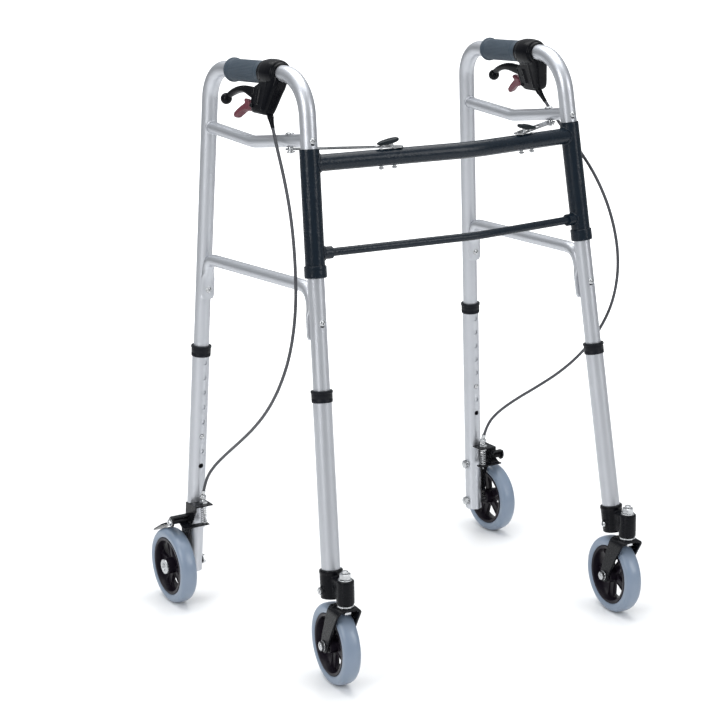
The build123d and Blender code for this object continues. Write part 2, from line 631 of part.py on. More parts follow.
def rear_leg_hardware():
    """Axle bolt, bracket bolt, brake pivot pin, hub cap washer, and the cable's barrel adjuster."""
    axle = rear_axle()
    leg = rear_axis(WHEEL_R)
    inner = leg - Vector(OUTER_R + 0.4, 0, 0)
    outer = axle + Vector(HUB_WIDTH / 2 + 0.6, 0, 0)
    bolt = rod(inner, outer + Vector(4.0, 0, 0), AXLE_R)
    bolt += hexagon(inner, (-1, 0, 0), 6.5, 5.0)
    cap = rod(outer, outer + Vector(4.0, 0, 0), 12.5)
    cap = fillet(cap.edges().filter_by(GeomType.CIRCLE), 1.5)
    spacer = rod(leg + Vector(OUTER_R - 2.0, 0, 0), axle - Vector(HUB_WIDTH / 2 + 0.6, 0, 0), 8.5)
    spacer -= rod(rear_axis(20), rear_axis(220), OUTER_R + 0.03)
    spacer -= rod(leg, outer, AXLE_R + 0.03)
    mid = rear_axis(BRACKET_BOLT_Z)
    start = mid - Vector(OUTER_R + 0.4, 0, 0)
    end = Vector(rear_axis(WHEEL_R + 6).X + OUTER_R + 0.3 + SHEET, mid.Y, mid.Z)
    second = rod(start, end, AXLE_R)
    second += hexagon(start, (-1, 0, 0), 6.5, 5.0)
    second += dome(end, (1, 0, 0), 6.0, 2.4)
    pivot_start = Vector(end.X - 1.0 - SHEET, PIVOT_Y, PIVOT_Z)
    pivot = rod(pivot_start, (REAR_WHEEL_X + 13.5, PIVOT_Y, PIVOT_Z), 2.5)
    pivot += rod((REAR_WHEEL_X + 11.2, PIVOT_Y, PIVOT_Z), (REAR_WHEEL_X + 13.5, PIVOT_Y, PIVOT_Z), 4.5)
    x, y = BRAKE_WIRE
    barrel = rod((x, y, FLANGE_Z - 6), (x, y, FLANGE_Z + 15), 3.5)
    barrel += hexagon((x, y, FLANGE_Z + 0.1), (0, 0, 1), 6.0, 4.0)
    barrel += rod((x, y, FLANGE_Z + 9), (x, y, FLANGE_Z + 15), 5.0)
    barrel -= rod((x, y, FLANGE_Z - 10), (x, y, FLANGE_Z + 20), 1.1)
    return [bolt, cap - rod(inner, outer + Vector(9, 0, 0), AXLE_R + 0.03), spacer, second, pivot, barrel]


def brake_arm():
    """The rocking arm: strip that the wire lifts, sleeve on the pivot pin, and the pad plate."""
    x, y = BRAKE_WIRE
    strip_out = REAR_WHEEL_X - 3
    strip = Pos((x - 8 + strip_out) / 2, y + 2, STRIP_Z) * Box(strip_out - x + 8, 12, SHEET)
    strip -= rod((x, y, STRIP_Z - 10), (x, y, STRIP_Z + 10), 1.3)
    plate_x = rear_axis(WHEEL_R + 6).X + OUTER_R + 0.3 + SHEET
    sleeve_in = Vector(plate_x + 0.6, PIVOT_Y, PIVOT_Z)
    sleeve_out = Vector(REAR_WHEEL_X + 8.4, PIVOT_Y, PIVOT_Z)
    arm = rod(sleeve_in, sleeve_out, 4.6)
    arm += Pos((plate_x + 1.2 + strip_out) / 2, y + 10, (STRIP_Z + PIVOT_Z) / 2 - 1.5) * Rot(X=25) * Box(
        strip_out - plate_x - 1.2, 14, SHEET)
    arm += strip
    centre = rear_axle()
    angle = radians(30)
    touch = centre + Vector(0, sin(angle), cos(angle)) * (WHEEL_R + PAD_GAP)
    lean = -degrees(angle)
    pad = Pos(REAR_WHEEL_X, touch.Y, touch.Z) * Rot(X=lean) * Pos(0, 0, SHEET / 2) * Box(24, 46, SHEET)
    pad = fillet(pad.edges().filter_by(lambda e: abs(e.length - SHEET) < 0.01), 6)
    arm += pad
    near = touch - Vector(0, cos(angle), -sin(angle)) * 21
    start = Vector(REAR_WHEEL_X, PIVOT_Y, PIVOT_Z - 2)
    gap = near - start
    tilt = degrees(atan2(gap.Z, gap.Y))
    arm += Pos(REAR_WHEEL_X, (near.Y + start.Y) / 2, (near.Z + start.Z) / 2 + 1) * Rot(X=tilt) * Box(
        14, hypot(gap.Y, gap.Z) + 3, SHEET + 1)
    arm -= rod((200, PIVOT_Y, PIVOT_Z), (400, PIVOT_Y, PIVOT_Z), 2.8)
    return [max(arm.solids(), key=lambda s: s.volume)]


def brake_spring():
    """Return spring round the wire, between the flange and the arm."""
    x, y = BRAKE_WIRE
    bottom = STRIP_Z + SHEET / 2 + 0.2
    top = FLANGE_Z - 6.3
    helix = Pos(x, y, bottom + 0.6) * Helix(pitch=(top - bottom - 1.2) / 8, height=top - bottom - 1.2, radius=4.6)
    coil = sweep(Plane(origin=helix @ 0, z_dir=helix % 0) * Circle(0.55), path=helix)
    wire = rod((x, y, STRIP_Z - 5), (x, y, FLANGE_Z + 14.5), CABLE_WIRE_R)
    return [coil, wire]


# ================================================================ hand lever and parking lock
def in_side(points):
    """A face in the side frame's plane, from (y, z) corners."""
    plane = Plane(origin=side_point(0, 0), x_dir=side_point(1, 0) - side_point(0, 0), z_dir=SIDE_NORMAL)
    local = [plane.to_local_coords(side_point(y, z)) for y, z in points]
    return plane * make_face(Polyline(*[(p.X, p.Y) for p in local], close=True))


def brake_lever():
    outline = [(-8, 874), (8, 879), (30, 876), (50, 875), (75, 870.5), (100, 862), (112, 855.5),
               (108, 848), (95, 852), (75, 857.5), (55, 861.5), (35, 862), (16, 857), (-4, 857)]
    lever = extrude(in_side(outline), amount=LEVER_THICK / 2, both=True)
    ball = side_point(*BALL)
    lever += Pos(*ball) * Sphere(BALL_R)
    point = side_point(*LEVER_PIVOT)
    lever -= rod(point - SIDE_NORMAL * 20, point + SIDE_NORMAL * 20, PIN_R + 0.3)
    return [tilted(max(lever.solids(), key=lambda s: s.volume))]


def parking_lock():
    outline = [(8, 853), (22, 855), (40, 853.5), (52, 856), (58, 848), (74, 829), (68, 825), (54, 838),
               (40, 842), (24, 840), (8, 841)]
    lock = extrude(in_side(outline), amount=LEVER_THICK / 2 - 0.5, both=True)
    paddle = extrude(in_side([(52, 853), (60, 848), (74, 830), (69, 825), (55, 838)]), amount=7.0, both=True)
    lock += fillet(paddle.edges(), 1.2)
    point = side_point(*LOCK_PIVOT)
    lock -= rod(point - SIDE_NORMAL * 20, point + SIDE_NORMAL * 20, PIN_R + 0.3)
    return [tilted(max(lock.solids(), key=lambda s: s.volume))]


# ================================================================ latch
def bar_y(name, x, depth, bow, z):
    """Where a crossbar's centre line is, at a distance from the middle on one side."""
    hinge = front_axis(z)
    sign = 1 if name == "left" else -1
    apex = sign * BOW_X
    return hinge.Y - bow * (hinge.X - x) / (hinge.X - apex) + depth


def latch_pin_places(name):
    """The two pins through the upper crossbar, as drawn for the left side."""
    places = []
    for offset in (-LATCH_PIN_GAP / 2, LATCH_PIN_GAP / 2):
        x = LATCH_X[name] + offset
        places.append(Vector(x, bar_y(name, x, 0.0, UPPER_BAR_BOW, UPPER_BAR_Z), UPPER_BAR_Z))
    return places


def link_pin():
    """Where the latch pin's centre crosses the link's height."""
    centre = upper_brace_at(LINK_PIN_Y)
    return centre - FRONT_DIR * ((centre.Z - LINK_Z - LINK_THICK / 2) / FRONT_DIR.Z)


def latch_link(name):
    """Flat steel strip from the brace's pin to the crossbar, with its slot over the crossbar's pins."""
    start = link_pin()
    inner, outer = latch_pin_places(name)
    end = inner + (inner - outer).normalized() * 6
    run = Vector(end.X - start.X, end.Y - start.Y, 0)
    plane = Plane(origin=(start.X, start.Y, LINK_Z), x_dir=run, z_dir=(0, 0, 1))
    face = Pos(run.length / 2, 0) * SlotOverall(run.length + LINK_WIDTH, LINK_WIDTH)
    strip = extrude(plane * face, amount=LINK_THICK)
    slot_length = run.length * 0.62
    slot = Pos(run.length - slot_length / 2 - 6, 0) * SlotOverall(slot_length, 6.4)
    strip -= extrude(plane * slot, amount=LINK_THICK)
    strip -= rod(start - FRONT_DIR * 8, start + FRONT_DIR * 8, LINK_PIN_R + LINK_PIN_PLAY)
    return [strip]


def latch_tab(name):
    """Moulded release lever with its wire clip, on the end of the link."""
    inner, outer = latch_pin_places(name)
    middle = (inner + outer) * 0.5
    run = outer - inner
    plane = Plane(origin=(middle.X, middle.Y, LINK_Z + LINK_THICK + 0.4), x_dir=run, z_dir=(0, 0, 1))
    body = extrude(plane * RectangleRounded(TAB_LENGTH, TAB_WIDTH, 4), amount=TAB_HEIGHT)
    body = fillet(body.edges().group_by(Axis.Z)[-1], 2.0)
    lip = extrude(plane * Pos(TAB_LENGTH / 2 - 4, 0) * RectangleRounded(8, TAB_WIDTH + 3, 3), amount=TAB_HEIGHT + 4)
    return [body + lip]


# ================================================================ front frame
def both_sides(shapes):
    return shapes + [mirror(shape, about=Plane.YZ) for shape in shapes]


def hinge_sleeves():
    """Two sleeves that turn on the front legs, each with a thicker ring at its foot."""
    sleeve = rod(front_axis(SLEEVE_END_Z), front_axis(SLEEVE_TOP_Z), SLEEVE_R, SLEEVE_BORE_R)
    ring = rod(front_axis(RING_END_Z), front_axis(SLEEVE_END_Z), RING_R)
    ring = fillet(ring.edges().filter_by(GeomType.CIRCLE), 1.5)
    ring -= rod(front_axis(RING_END_Z - 20), front_axis(SLEEVE_END_Z + 20), SLEEVE_BORE_R)
    return both_sides([sleeve, ring])


def crossbar(z, bow, radius):
    """A bar between the sleeves that bends forward at one point, a little to the left of the middle."""
    hinge = front_axis(z)
    points = [
        Vector(-hinge.X, hinge.Y, z),
        Vector(BOW_X, hinge.Y - bow, z),
        Vector(hinge.X, hinge.Y, z),
    ]
    bar = bent(points, [BOW_R * 3], radius, radius - BAR_WALL)
    cutter = rod(front_axis(z - 60), front_axis(z + 60), SLEEVE_R + 0.02)
    bar -= cutter
    bar -= mirror(cutter, about=Plane.YZ)
    return max(bar.solids(), key=lambda s: s.volume)


def upper_crossbar():
    bar = crossbar(UPPER_BAR_Z, UPPER_BAR_BOW, UPPER_BAR_R)
    for pin in crossbar_pins(0.05):
        bar -= pin
    return [bar]


def lower_crossbar():
    bar = crossbar(LOWER_BAR_Z, LOWER_BAR_BOW, LOWER_BAR_R)
    hinge = front_axis(LOWER_BAR_Z)
    stubs = []
    for sign in (-1, 1):
        end = Vector(sign * hinge.X, hinge.Y, LOWER_BAR_Z)
        way = (Vector(BOW_X, hinge.Y - LOWER_BAR_BOW, LOWER_BAR_Z) - end).normalized()
        stub = rod(end, end + way * (SLEEVE_R + STUB_LENGTH), STUB_R, LOWER_BAR_R)
        cutter = rod(front_axis(LOWER_BAR_Z - 60), front_axis(LOWER_BAR_Z + 60), SLEEVE_R + 0.02)
        stub -= cutter if sign > 0 else mirror(cutter, about=Plane.YZ)
        stubs.append(max(stub.solids(), key=lambda s: s.volume))
    return [bar] + stubs


def crossbar_pins(play=0.0):
    """The round studs through the upper crossbar, flush on top, that the links' slots pass over."""
    pins = []
    for name, sign in (("left", 1), ("right", -1)):
        for place in latch_pin_places(name):
            centre = Vector(sign * place.X, place.Y, place.Z)
            low = centre - Vector(0, 0, UPPER_BAR_R + LATCH_PIN_DROP)
            high = centre + Vector(0, 0, UPPER_BAR_R + 0.1)
            pins.append(rod(low, high, LATCH_PIN_R + play))
    return pins


def latch_hardware():
    shapes = []
    for pin in crossbar_pins():
        foot = Vector(pin.center().X, pin.center().Y, pin.bounding_box().min.Z)
        shapes.append(pin + rod(foot, foot + Vector(0, 0, 2.5), LATCH_PIN_R + 1.9))
    return shapes


# ================================================================ all nodes
def side_nodes(name):
    """The nodes of one side, as drawn for the left side."""
    caster = (SWIVEL_X, SWIVEL_Y + CASTER_TRAIL, WHEEL_R)
    rear = tuple(rear_axle())
    return {
        "side_tube": side_tube(),
        "upper_brace": upper_brace(),
        "lower_brace": lower_brace(),
        "side_fasteners": side_fasteners(),
        "hand_grip": hand_grip(),
        "brake_housing": brake_housing(),
        "brake_cable": brake_cable(),
        "front_leg": front_leg(),
        "front_collar": collar(front_axis, FRONT_TUBE_TOP_Z),
        "caster_bracket": caster_bracket(),
        "rear_leg": rear_leg(),
        "rear_collar": collar(rear_axis, REAR_TUBE_TOP_Z),
        "brake_bracket": brake_bracket(),
        "rear_leg_hardware": rear_leg_hardware(),
        "front_button": snap_button(front_axis, FRONT_BUTTON_Z, 1),
        "rear_button": snap_button(rear_axis, REAR_BUTTON_Z, -1),
        "rear_rim": rim(rear) + bearings(rear),
        "rear_tyre": tyre(rear),
        "brake_arm": brake_arm(),
        "brake_spring": brake_spring(),
        "brake_lever": brake_lever(),
        "parking_lock": parking_lock(),
        "latch_link": latch_link(name),
        "latch_tab": latch_tab(name),
        "caster_fork": caster_fork(),
        "caster_hardware": caster_hardware(),
        "caster_rim": rim(caster) + bearings(caster),
        "caster_tyre": tyre(caster),
    }


TURNED = ("caster_fork", "caster_hardware", "caster_rim", "caster_tyre")

os.makedirs("parts", exist_ok=True)
write("hinge_sleeves", hinge_sleeves())
write("upper_crossbar", upper_crossbar())
write("lower_crossbar", lower_crossbar())
write("latch_hardware", latch_hardware())
for name in ("left", "right"):
    for part, shapes in side_nodes(name).items():
        if name == "right":
            shapes = [mirror(shape, about=Plane.YZ) for shape in shapes]
        if part in TURNED:
            shapes = turned(shapes, name)
        write(f"{name}_{part}", shapes)
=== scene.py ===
import bmesh
import bpy
import json
from math import cos, pi, radians, sin, sqrt
from mathutils import Matrix, Vector


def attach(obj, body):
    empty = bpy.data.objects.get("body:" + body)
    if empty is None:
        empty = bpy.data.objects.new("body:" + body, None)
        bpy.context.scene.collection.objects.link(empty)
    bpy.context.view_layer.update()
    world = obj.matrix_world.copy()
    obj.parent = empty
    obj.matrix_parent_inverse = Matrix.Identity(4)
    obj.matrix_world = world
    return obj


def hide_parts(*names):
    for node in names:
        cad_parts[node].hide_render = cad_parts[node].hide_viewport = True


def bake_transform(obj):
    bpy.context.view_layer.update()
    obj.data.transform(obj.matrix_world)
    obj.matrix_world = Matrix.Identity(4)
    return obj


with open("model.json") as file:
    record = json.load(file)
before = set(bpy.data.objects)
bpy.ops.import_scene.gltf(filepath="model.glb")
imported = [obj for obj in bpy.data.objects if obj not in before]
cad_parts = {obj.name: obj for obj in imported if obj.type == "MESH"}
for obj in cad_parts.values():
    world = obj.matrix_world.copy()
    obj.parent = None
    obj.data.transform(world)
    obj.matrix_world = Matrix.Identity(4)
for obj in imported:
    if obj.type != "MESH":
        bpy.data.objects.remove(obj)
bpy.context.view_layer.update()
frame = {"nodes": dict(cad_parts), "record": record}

# Walking frame.  Pieces are drawn in millimetres for the left side (+X) and mirrored.
# +Z is up, the front faces -Y.
MM = 0.001
SIDES = ("left", "right")
FLOOR_HALF = 14.0   # metres

SIDE_X, SIDE_TOE, SIDE_LEAN = 282.5, 0.0335, -0.051
FRONT_Y, FRONT_RAKE = -234.7, 0.1511
REAR_Y, REAR_RAKE = 218.6, -0.0398
TUBE_R = 12.7
OUTER_R = 14.3
HANDLE_REAR = (183.1, 892.1)
HANDLE_FRONT = (-97.7, 906.8)
GRIP_REAR_Y, GRIP_FRONT_Y = 112.0, 15.0
COLLAR_TOP_Z = {"front": 449.0, "rear": 440.0}
BRACE_R = 9.6
TAIL_SET, TAIL_WIDTH, TAIL_THICK = 14.6, 25.0, 5.0
TAIL_TOP_Z, TAIL_FLAT_Z, TAIL_END_Z = 568.0, 553.0, 521.0
LOWER_BRACE_Z = {"rear": 586.5, "front": 597.0}
UPPER_BRACE = {"rear_z": 799.5, "dip": (45.0, 792.5), "front_z": 814.0}
RIVET_Z = (550.0, 536.0)
LINK_Z, LINK_THICK, LINK_WIDTH = 793.8, 1.8, 16.0
LINK_PIN_Y = -60.0
LATCH_X = {"right": 112.0, "left": 144.0}
LATCH_PIN_GAP = 22.0
TAB_LIFT = 3.2
BAR_R, BAR_Z, BAR_BOW, BOW_X = 12.7, 780.0, 28.0, 32.0
LOWER_BAR_Z, LOWER_BAR_BOW = 649.0, 24.0
SLEEVE_R = 15.0
WHEEL_R, RIM_R, TYRE_WIDTH = 63.5, 49.0, 28.0
SWIVEL_X, SWIVEL_Y, CASTER_TRAIL, CASTER_TURN = 267.0, -250.0, 35.0, 5.0
HEAD_TOP_Z, HEAD_END_Z, HEAD_R = 178.0, 140.0, 13.5
SOCKET_TOP_Z, SOCKET_END_Z = 182.0, 138.0
FORK_TOP_Z, FORK_GAP, FORK_WALL = 135.5, 33.0, 4.0
REAR_WHEEL_X = 323.4
BRACKET_BOLT_Z = 135.0
ARM_PIVOT = (199.0, 146.0)
BRAKE_WIRE = (282.5, 181.0)
FLANGE_Z = 174.0
LEVER_PIVOT, LOCK_PIVOT = (6.0, 866.0), (16.0, 848.0)
BALL, BALL_R = (115.0, 850.0), 9.0
BRAKE_TILT = 13.0
CABLE_R = 2.5
CABLE_POINTS = [
    (250.0, -22.0, 834.0), (257.5, -50.5, 799.5), (269.0, -92.0, 759.5),
    (281.5, -133.0, 710.5), (292.0, -162.0, 649.0), (298.5, -173.5, 579.5),
    (301.0, -159.0, 510.5), (300.0, -123.5, 451.5), (297.5, -77.0, 401.0),
    (294.5, -23.5, 358.0), (290.5, 32.0, 321.0), (286.0, 86.5, 286.5),
    (283.5, 136.5, 251.5), (282.5, 170.5, 218.5), (282.5, 181.0, 190.0),
]


def side_point(y, z, out=0.0):
    """A point in the side frame's plane, or that far outboard of it."""
    return Vector((SIDE_X + SIDE_TOE * y + SIDE_LEAN * z, y, z)) + SIDE_NORMAL * out


SIDE_NORMAL = Vector((1.0, -SIDE_TOE, -SIDE_LEAN)).normalized()


def front_axis(z):
    return side_point(FRONT_Y + FRONT_RAKE * z, z)


def rear_axis(z):
    return side_point(REAR_Y + REAR_RAKE * z, z)


FRONT_DIR = (front_axis(1.0) - front_axis(0.0)).normalized()
REAR_DIR = (rear_axis(1.0) - rear_axis(0.0)).normalized()
UP = Vector((0, 0, 1))
OUT = Vector((1, 0, 0))
BACK = Vector((0, 1, 0))


# ================================================================ camera, lights and floor
def camera():
    data = bpy.data.cameras.new("camera")
    data.lens = 98.83
    data.sensor_width = 36.0
    data.clip_end = 50.0
    azimuth, tilt, roll = radians(31.312), radians(15.214), radians(-0.586)
    look = Vector((sin(azimuth) * cos(tilt), cos(azimuth) * cos(tilt), -sin(tilt)))
    right = look.cross(UP).normalized()
    up = right.cross(look)
    side = right * cos(roll) + up * sin(roll)
    top = up * cos(roll) - right * sin(roll)
    turn = Matrix((side, top, -look)).transposed()
    eye = bpy.data.objects.new("camera", data)
    eye.matrix_world = Matrix.Translation(Vector((-1675.06, -2616.36, 1263.30)) * MM) @ turn.to_4x4()
    bpy.context.scene.collection.objects.link(eye)
    bpy.context.scene.camera = eye


def area_light(name, place, target, size, power, tint=(1, 1, 1)):
    data = bpy.data.lights.new(name, "AREA")
    data.shape = "RECTANGLE"
    data.size, data.size_y = size
    data.energy = power
    data.color = tint
    lamp = bpy.data.objects.new(name, data)
    lamp.location = place
    lamp.rotation_euler = (Vector(target) - Vector(place)).to_track_quat("-Z", "Y").to_euler()
    bpy.context.scene.collection.objects.link(lamp)


def studio():
    """White behind the object, dimmer all round it so that tubes keep darker edges, and soft boxes."""
    world = bpy.data.worlds.new("studio")
    bpy.context.scene.world = world
    world.use_nodes = True
    tree = world.node_tree
    around = tree.nodes["Background"]
    place = tree.nodes.new("ShaderNodeTexCoord")
    parts = tree.nodes.new("ShaderNodeSeparateXYZ")
    rise = tree.nodes.new("ShaderNodeMapRange")
    rise.inputs["From Min"].default_value = -0.1
    rise.inputs["From Max"].default_value = 0.8
    rise.inputs["To Min"].default_value = 0.22
    rise.inputs["To Max"].default_value = 0.75
    tree.links.new(place.outputs["Generated"], parts.inputs["Vector"])
    tree.links.new(parts.outputs["Z"], rise.inputs["Value"])
    tree.links.new(rise.outputs["Result"], around.inputs["Strength"])
    around.inputs["Color"].default_value = (0.94, 0.97, 1.0, 1.0)
    behind = tree.nodes.new("ShaderNodeBackground")
    behind.inputs["Color"].default_value = (1, 1, 1, 1)
    seen = tree.nodes.new("ShaderNodeLightPath")
    both = tree.nodes.new("ShaderNodeMixShader")
    tree.links.new(seen.outputs["Is Camera Ray"], both.inputs["Fac"])
    tree.links.new(around.outputs["Background"], both.inputs[1])
    tree.links.new(behind.outputs["Background"], both.inputs[2])
    tree.links.new(both.outputs["Shader"], tree.nodes["World Output"].inputs["Surface"])
    area_light("key", (-3.0, -1.2, 2.0), (0, 0, 0.5), (1.1, 2.4), 50)
    area_light("fill", (1.6, -3.2, 1.9), (0, 0, 0.5), (1.0, 2.0), 34)
    area_light("top", (0.2, 0.6, 3.4), (0, 0.1, 0), (3.4, 3.4), 105)
    bpy.context.scene.view_settings.view_transform = "Standard"


def floor():
    """A plain white sheet with a painted glow, seen only by the camera, that brightens it with distance into
    the white behind the object.
    """
    mesh = bpy.data.meshes.new("floor")
    corners = [(x * FLOOR_HALF, y * FLOOR_HALF, 0) for x, y in ((-1, -1), (1, -1), (1, 1), (-1, 1))]
    mesh.from_pydata(corners, [], [(0, 1, 2, 3)])
    sheet = bpy.data.objects.new("floor", mesh)
    bpy.context.scene.collection.objects.link(sheet)
    paint = Finish("floor_white", (0.93, 0.93, 0.93), rough=0.16, specular=0.5,
                   cloud=(2.0, 0.01), fine=(3.0, 0.0), gloss=0.02)
    reach = paint.node("ShaderNodeVectorMath")
    reach.operation = "LENGTH"
    paint.join(paint.node("ShaderNodeTexCoord").outputs["Object"], reach.inputs[0])
    # painted light: camera-only emission that rises with distance from the object and lights nothing
    painted_glow = paint.node("ShaderNodeMath")
    painted_glow.operation = "MULTIPLY"
    paint.join(paint.ramp(reach.outputs["Value"], 0.55, 2.3), painted_glow.inputs[0])
    paint.join(paint.node("ShaderNodeLightPath").outputs["Is Camera Ray"], painted_glow.inputs[1])
    paint.join(painted_glow.outputs["Value"], paint.shader.inputs["Emission Strength"])
    paint.set("Emission Color", (1, 1, 1, 1))
    mesh.materials.append(paint.material)


# ================================================================ materials
class Finish:
    """A Principled material with uneven colour, uneven gloss and a fine bump, all from nodes."""

    def __init__(self, name, colour, metal=0.0, rough=0.4, specular=0.5, cloud=(12.0, 0.06),
                 fine=(600.0, 0.05), gloss=0.06, coat=0.0, cells=None, worn=0.0):
        self.material = bpy.data.materials.new(name)
        self.material.use_nodes = True
        self.tree = self.material.node_tree
        self.shader = self.tree.nodes["Principled BSDF"]
        self.set("Metallic", metal)
        self.set("Specular IOR Level", specular)
        self.set("Coat Weight", coat)
        self.set("Coat Roughness", 0.08)
        place = self.node("ShaderNodeTexCoord").outputs["Object"]
        clouds = self.noise(place, cloud[0], 4)
        dark = [c * (1 - cloud[1]) for c in colour]
        light = [min(c * (1 + cloud[1]), 1) for c in colour]
        tone = self.blend(clouds, dark, light)
        grain = self.noise(place, fine[0], 3)
        height = grain
        if cells:
            spots = self.node("ShaderNodeTexVoronoi")
            spots.feature = "SMOOTH_F1"
            spots.inputs["Scale"].default_value = cells[0]
            self.join(place, spots.inputs["Vector"])
            height = self.math("MULTIPLY_ADD", spots.outputs["Distance"], cells[1], grain)
            tone = self.tint(spots.outputs["Distance"], tone, [min(c * cells[2], 1) for c in colour])
        if worn:
            edge = self.node("ShaderNodeNewGeometry").outputs["Pointiness"]
            sharp = self.ramp(edge, 0.52, 0.60)
            amount = self.math("MULTIPLY", sharp, worn, None)
            tone = self.tint(amount, tone, [min(c * 1.6 + 0.012, 1) for c in colour])
        self.join(tone, self.shader.inputs["Base Color"])
        smears = self.noise(place, cloud[0] * 5, 2)
        rough_out = self.math("MULTIPLY_ADD", smears, gloss, None, rough - gloss / 2)
        self.join(rough_out, self.shader.inputs["Roughness"])
        bump = self.node("ShaderNodeBump")
        bump.inputs["Strength"].default_value = fine[1]
        bump.inputs["Distance"].default_value = 0.0006
        self.join(height, bump.inputs["Height"])
        self.join(bump.outputs["Normal"], self.shader.inputs["Normal"])

    def node(self, kind):
        return self.tree.nodes.new(kind)

    def join(self, start, end):
        self.tree.links.new(start, end)

    def set(self, socket, value):
        self.shader.inputs[socket].default_value = value

    def noise(self, place, scale, detail):
        node = self.node("ShaderNodeTexNoise")
        node.inputs["Scale"].default_value = scale
        node.inputs["Detail"].default_value = detail
        self.join(place, node.inputs["Vector"])
        return node.outputs["Fac"]

    def blend(self, share, low, high):
        node = self.node("ShaderNodeMix")
        node.data_type = "RGBA"
        self.join(share, node.inputs["Factor"])
        node.inputs["A"].default_value = (*low, 1)
        node.inputs["B"].default_value = (*high, 1)
        for socket in node.inputs:
            if socket.type == "RGBA" and socket.name in "AB":
                socket.default_value = (*(low if socket.name == "A" else high), 1)
        return [s for s in node.outputs if s.type == "RGBA"][0]

    def tint(self, share, tone, high):
        node = self.node("ShaderNodeMix")
        node.data_type = "RGBA"
        self.join(share, node.inputs["Factor"])
        colours = [s for s in node.inputs if s.type == "RGBA"]
        self.join(tone, colours[0])
        colours[1].default_value = (*high, 1)
        return [s for s in node.outputs if s.type == "RGBA"][0]

    def math(self, kind, value, by, plus, plus_value=0.0):
        node = self.node("ShaderNodeMath")
        node.operation = kind
        self.join(value, node.inputs[0])
        node.inputs[1].default_value = by
        if plus is not None:
            self.join(plus, node.inputs[2])
        else:
            node.inputs[2].default_value = plus_value
        return node.outputs[0]

    def ramp(self, value, low, high):
        node = self.node("ShaderNodeMapRange")
        self.join(value, node.inputs["Value"])
        node.inputs["From Min"].default_value = low
        node.inputs["From Max"].default_value = high
        return node.outputs["Result"]


# colours are linear light
LOOKS = {
    "satin_aluminium": dict(colour=(0.50, 0.515, 0.545), metal=0.85, rough=0.40, cloud=(9.0, 0.03),
                            fine=(900.0, 0.10), gloss=0.08),
    "hammered_paint": dict(colour=(0.0040, 0.0085, 0.0145), rough=0.20, cloud=(30.0, 0.25),
                           fine=(700.0, 0.4), gloss=0.10, cells=(300.0, 1.3, 1.4), specular=0.24),
    "zinc_steel": dict(colour=(0.48, 0.49, 0.50), metal=1.0, rough=0.26, cloud=(60.0, 0.14),
                       fine=(1200.0, 0.12), gloss=0.16),
    "slate_rubber": dict(colour=(0.036, 0.053, 0.072), rough=0.56, cloud=(40.0, 0.12), fine=(1500.0, 0.35),
                         specular=0.35, worn=0.25),
    "black_plastic": dict(colour=(0.0022, 0.0025, 0.004), rough=0.22, specular=0.10, cloud=(30.0, 0.2),
                          fine=(1300.0, 0.10), gloss=0.1, worn=0.2),
    "collar_plastic": dict(colour=(0.005, 0.006, 0.009), rough=0.40, specular=0.14, cloud=(30.0, 0.2),
                           fine=(1300.0, 0.18), gloss=0.1, worn=0.25),
    "black_metal": dict(colour=(0.0026, 0.003, 0.0045), rough=0.28, specular=0.12, cloud=(40.0, 0.2),
                        fine=(900.0, 0.20), gloss=0.12, worn=0.3),
    "cable_jacket": dict(colour=(0.036, 0.038, 0.046), rough=0.46, cloud=(25.0, 0.15), fine=(1500.0, 0.15)),
    "rim_plastic": dict(colour=(0.007, 0.005, 0.009), rough=0.32, specular=0.15, cloud=(30.0, 0.2),
                        fine=(1100.0, 0.15), worn=0.3),
    "blue_grey_tyre": dict(colour=(0.185, 0.235, 0.310), rough=0.34, cloud=(25.0, 0.06), fine=(900.0, 0.12),
                           gloss=0.1, coat=0.15),
    "maroon_plastic": dict(colour=(0.105, 0.018, 0.030), rough=0.42, cloud=(40.0, 0.14),
                           fine=(1300.0, 0.15), worn=0.25),
    "tab_plastic": dict(colour=(0.006, 0.010, 0.013), rough=0.36, specular=0.15, cloud=(40.0, 0.14),
                        fine=(1300.0, 0.20), worn=0.25),
}
FINISHES = {name: Finish(name, **look) for name, look in LOOKS.items()}


def paint_cad():
    """Every CAD node takes the finish of its material slot in the record."""
    for row in frame["record"]["subparts"]:
        shape = frame["nodes"][row["node"]]
        shape.data.materials.clear()
        shape.data.materials.append(FINISHES[row["material_slot"]].material)


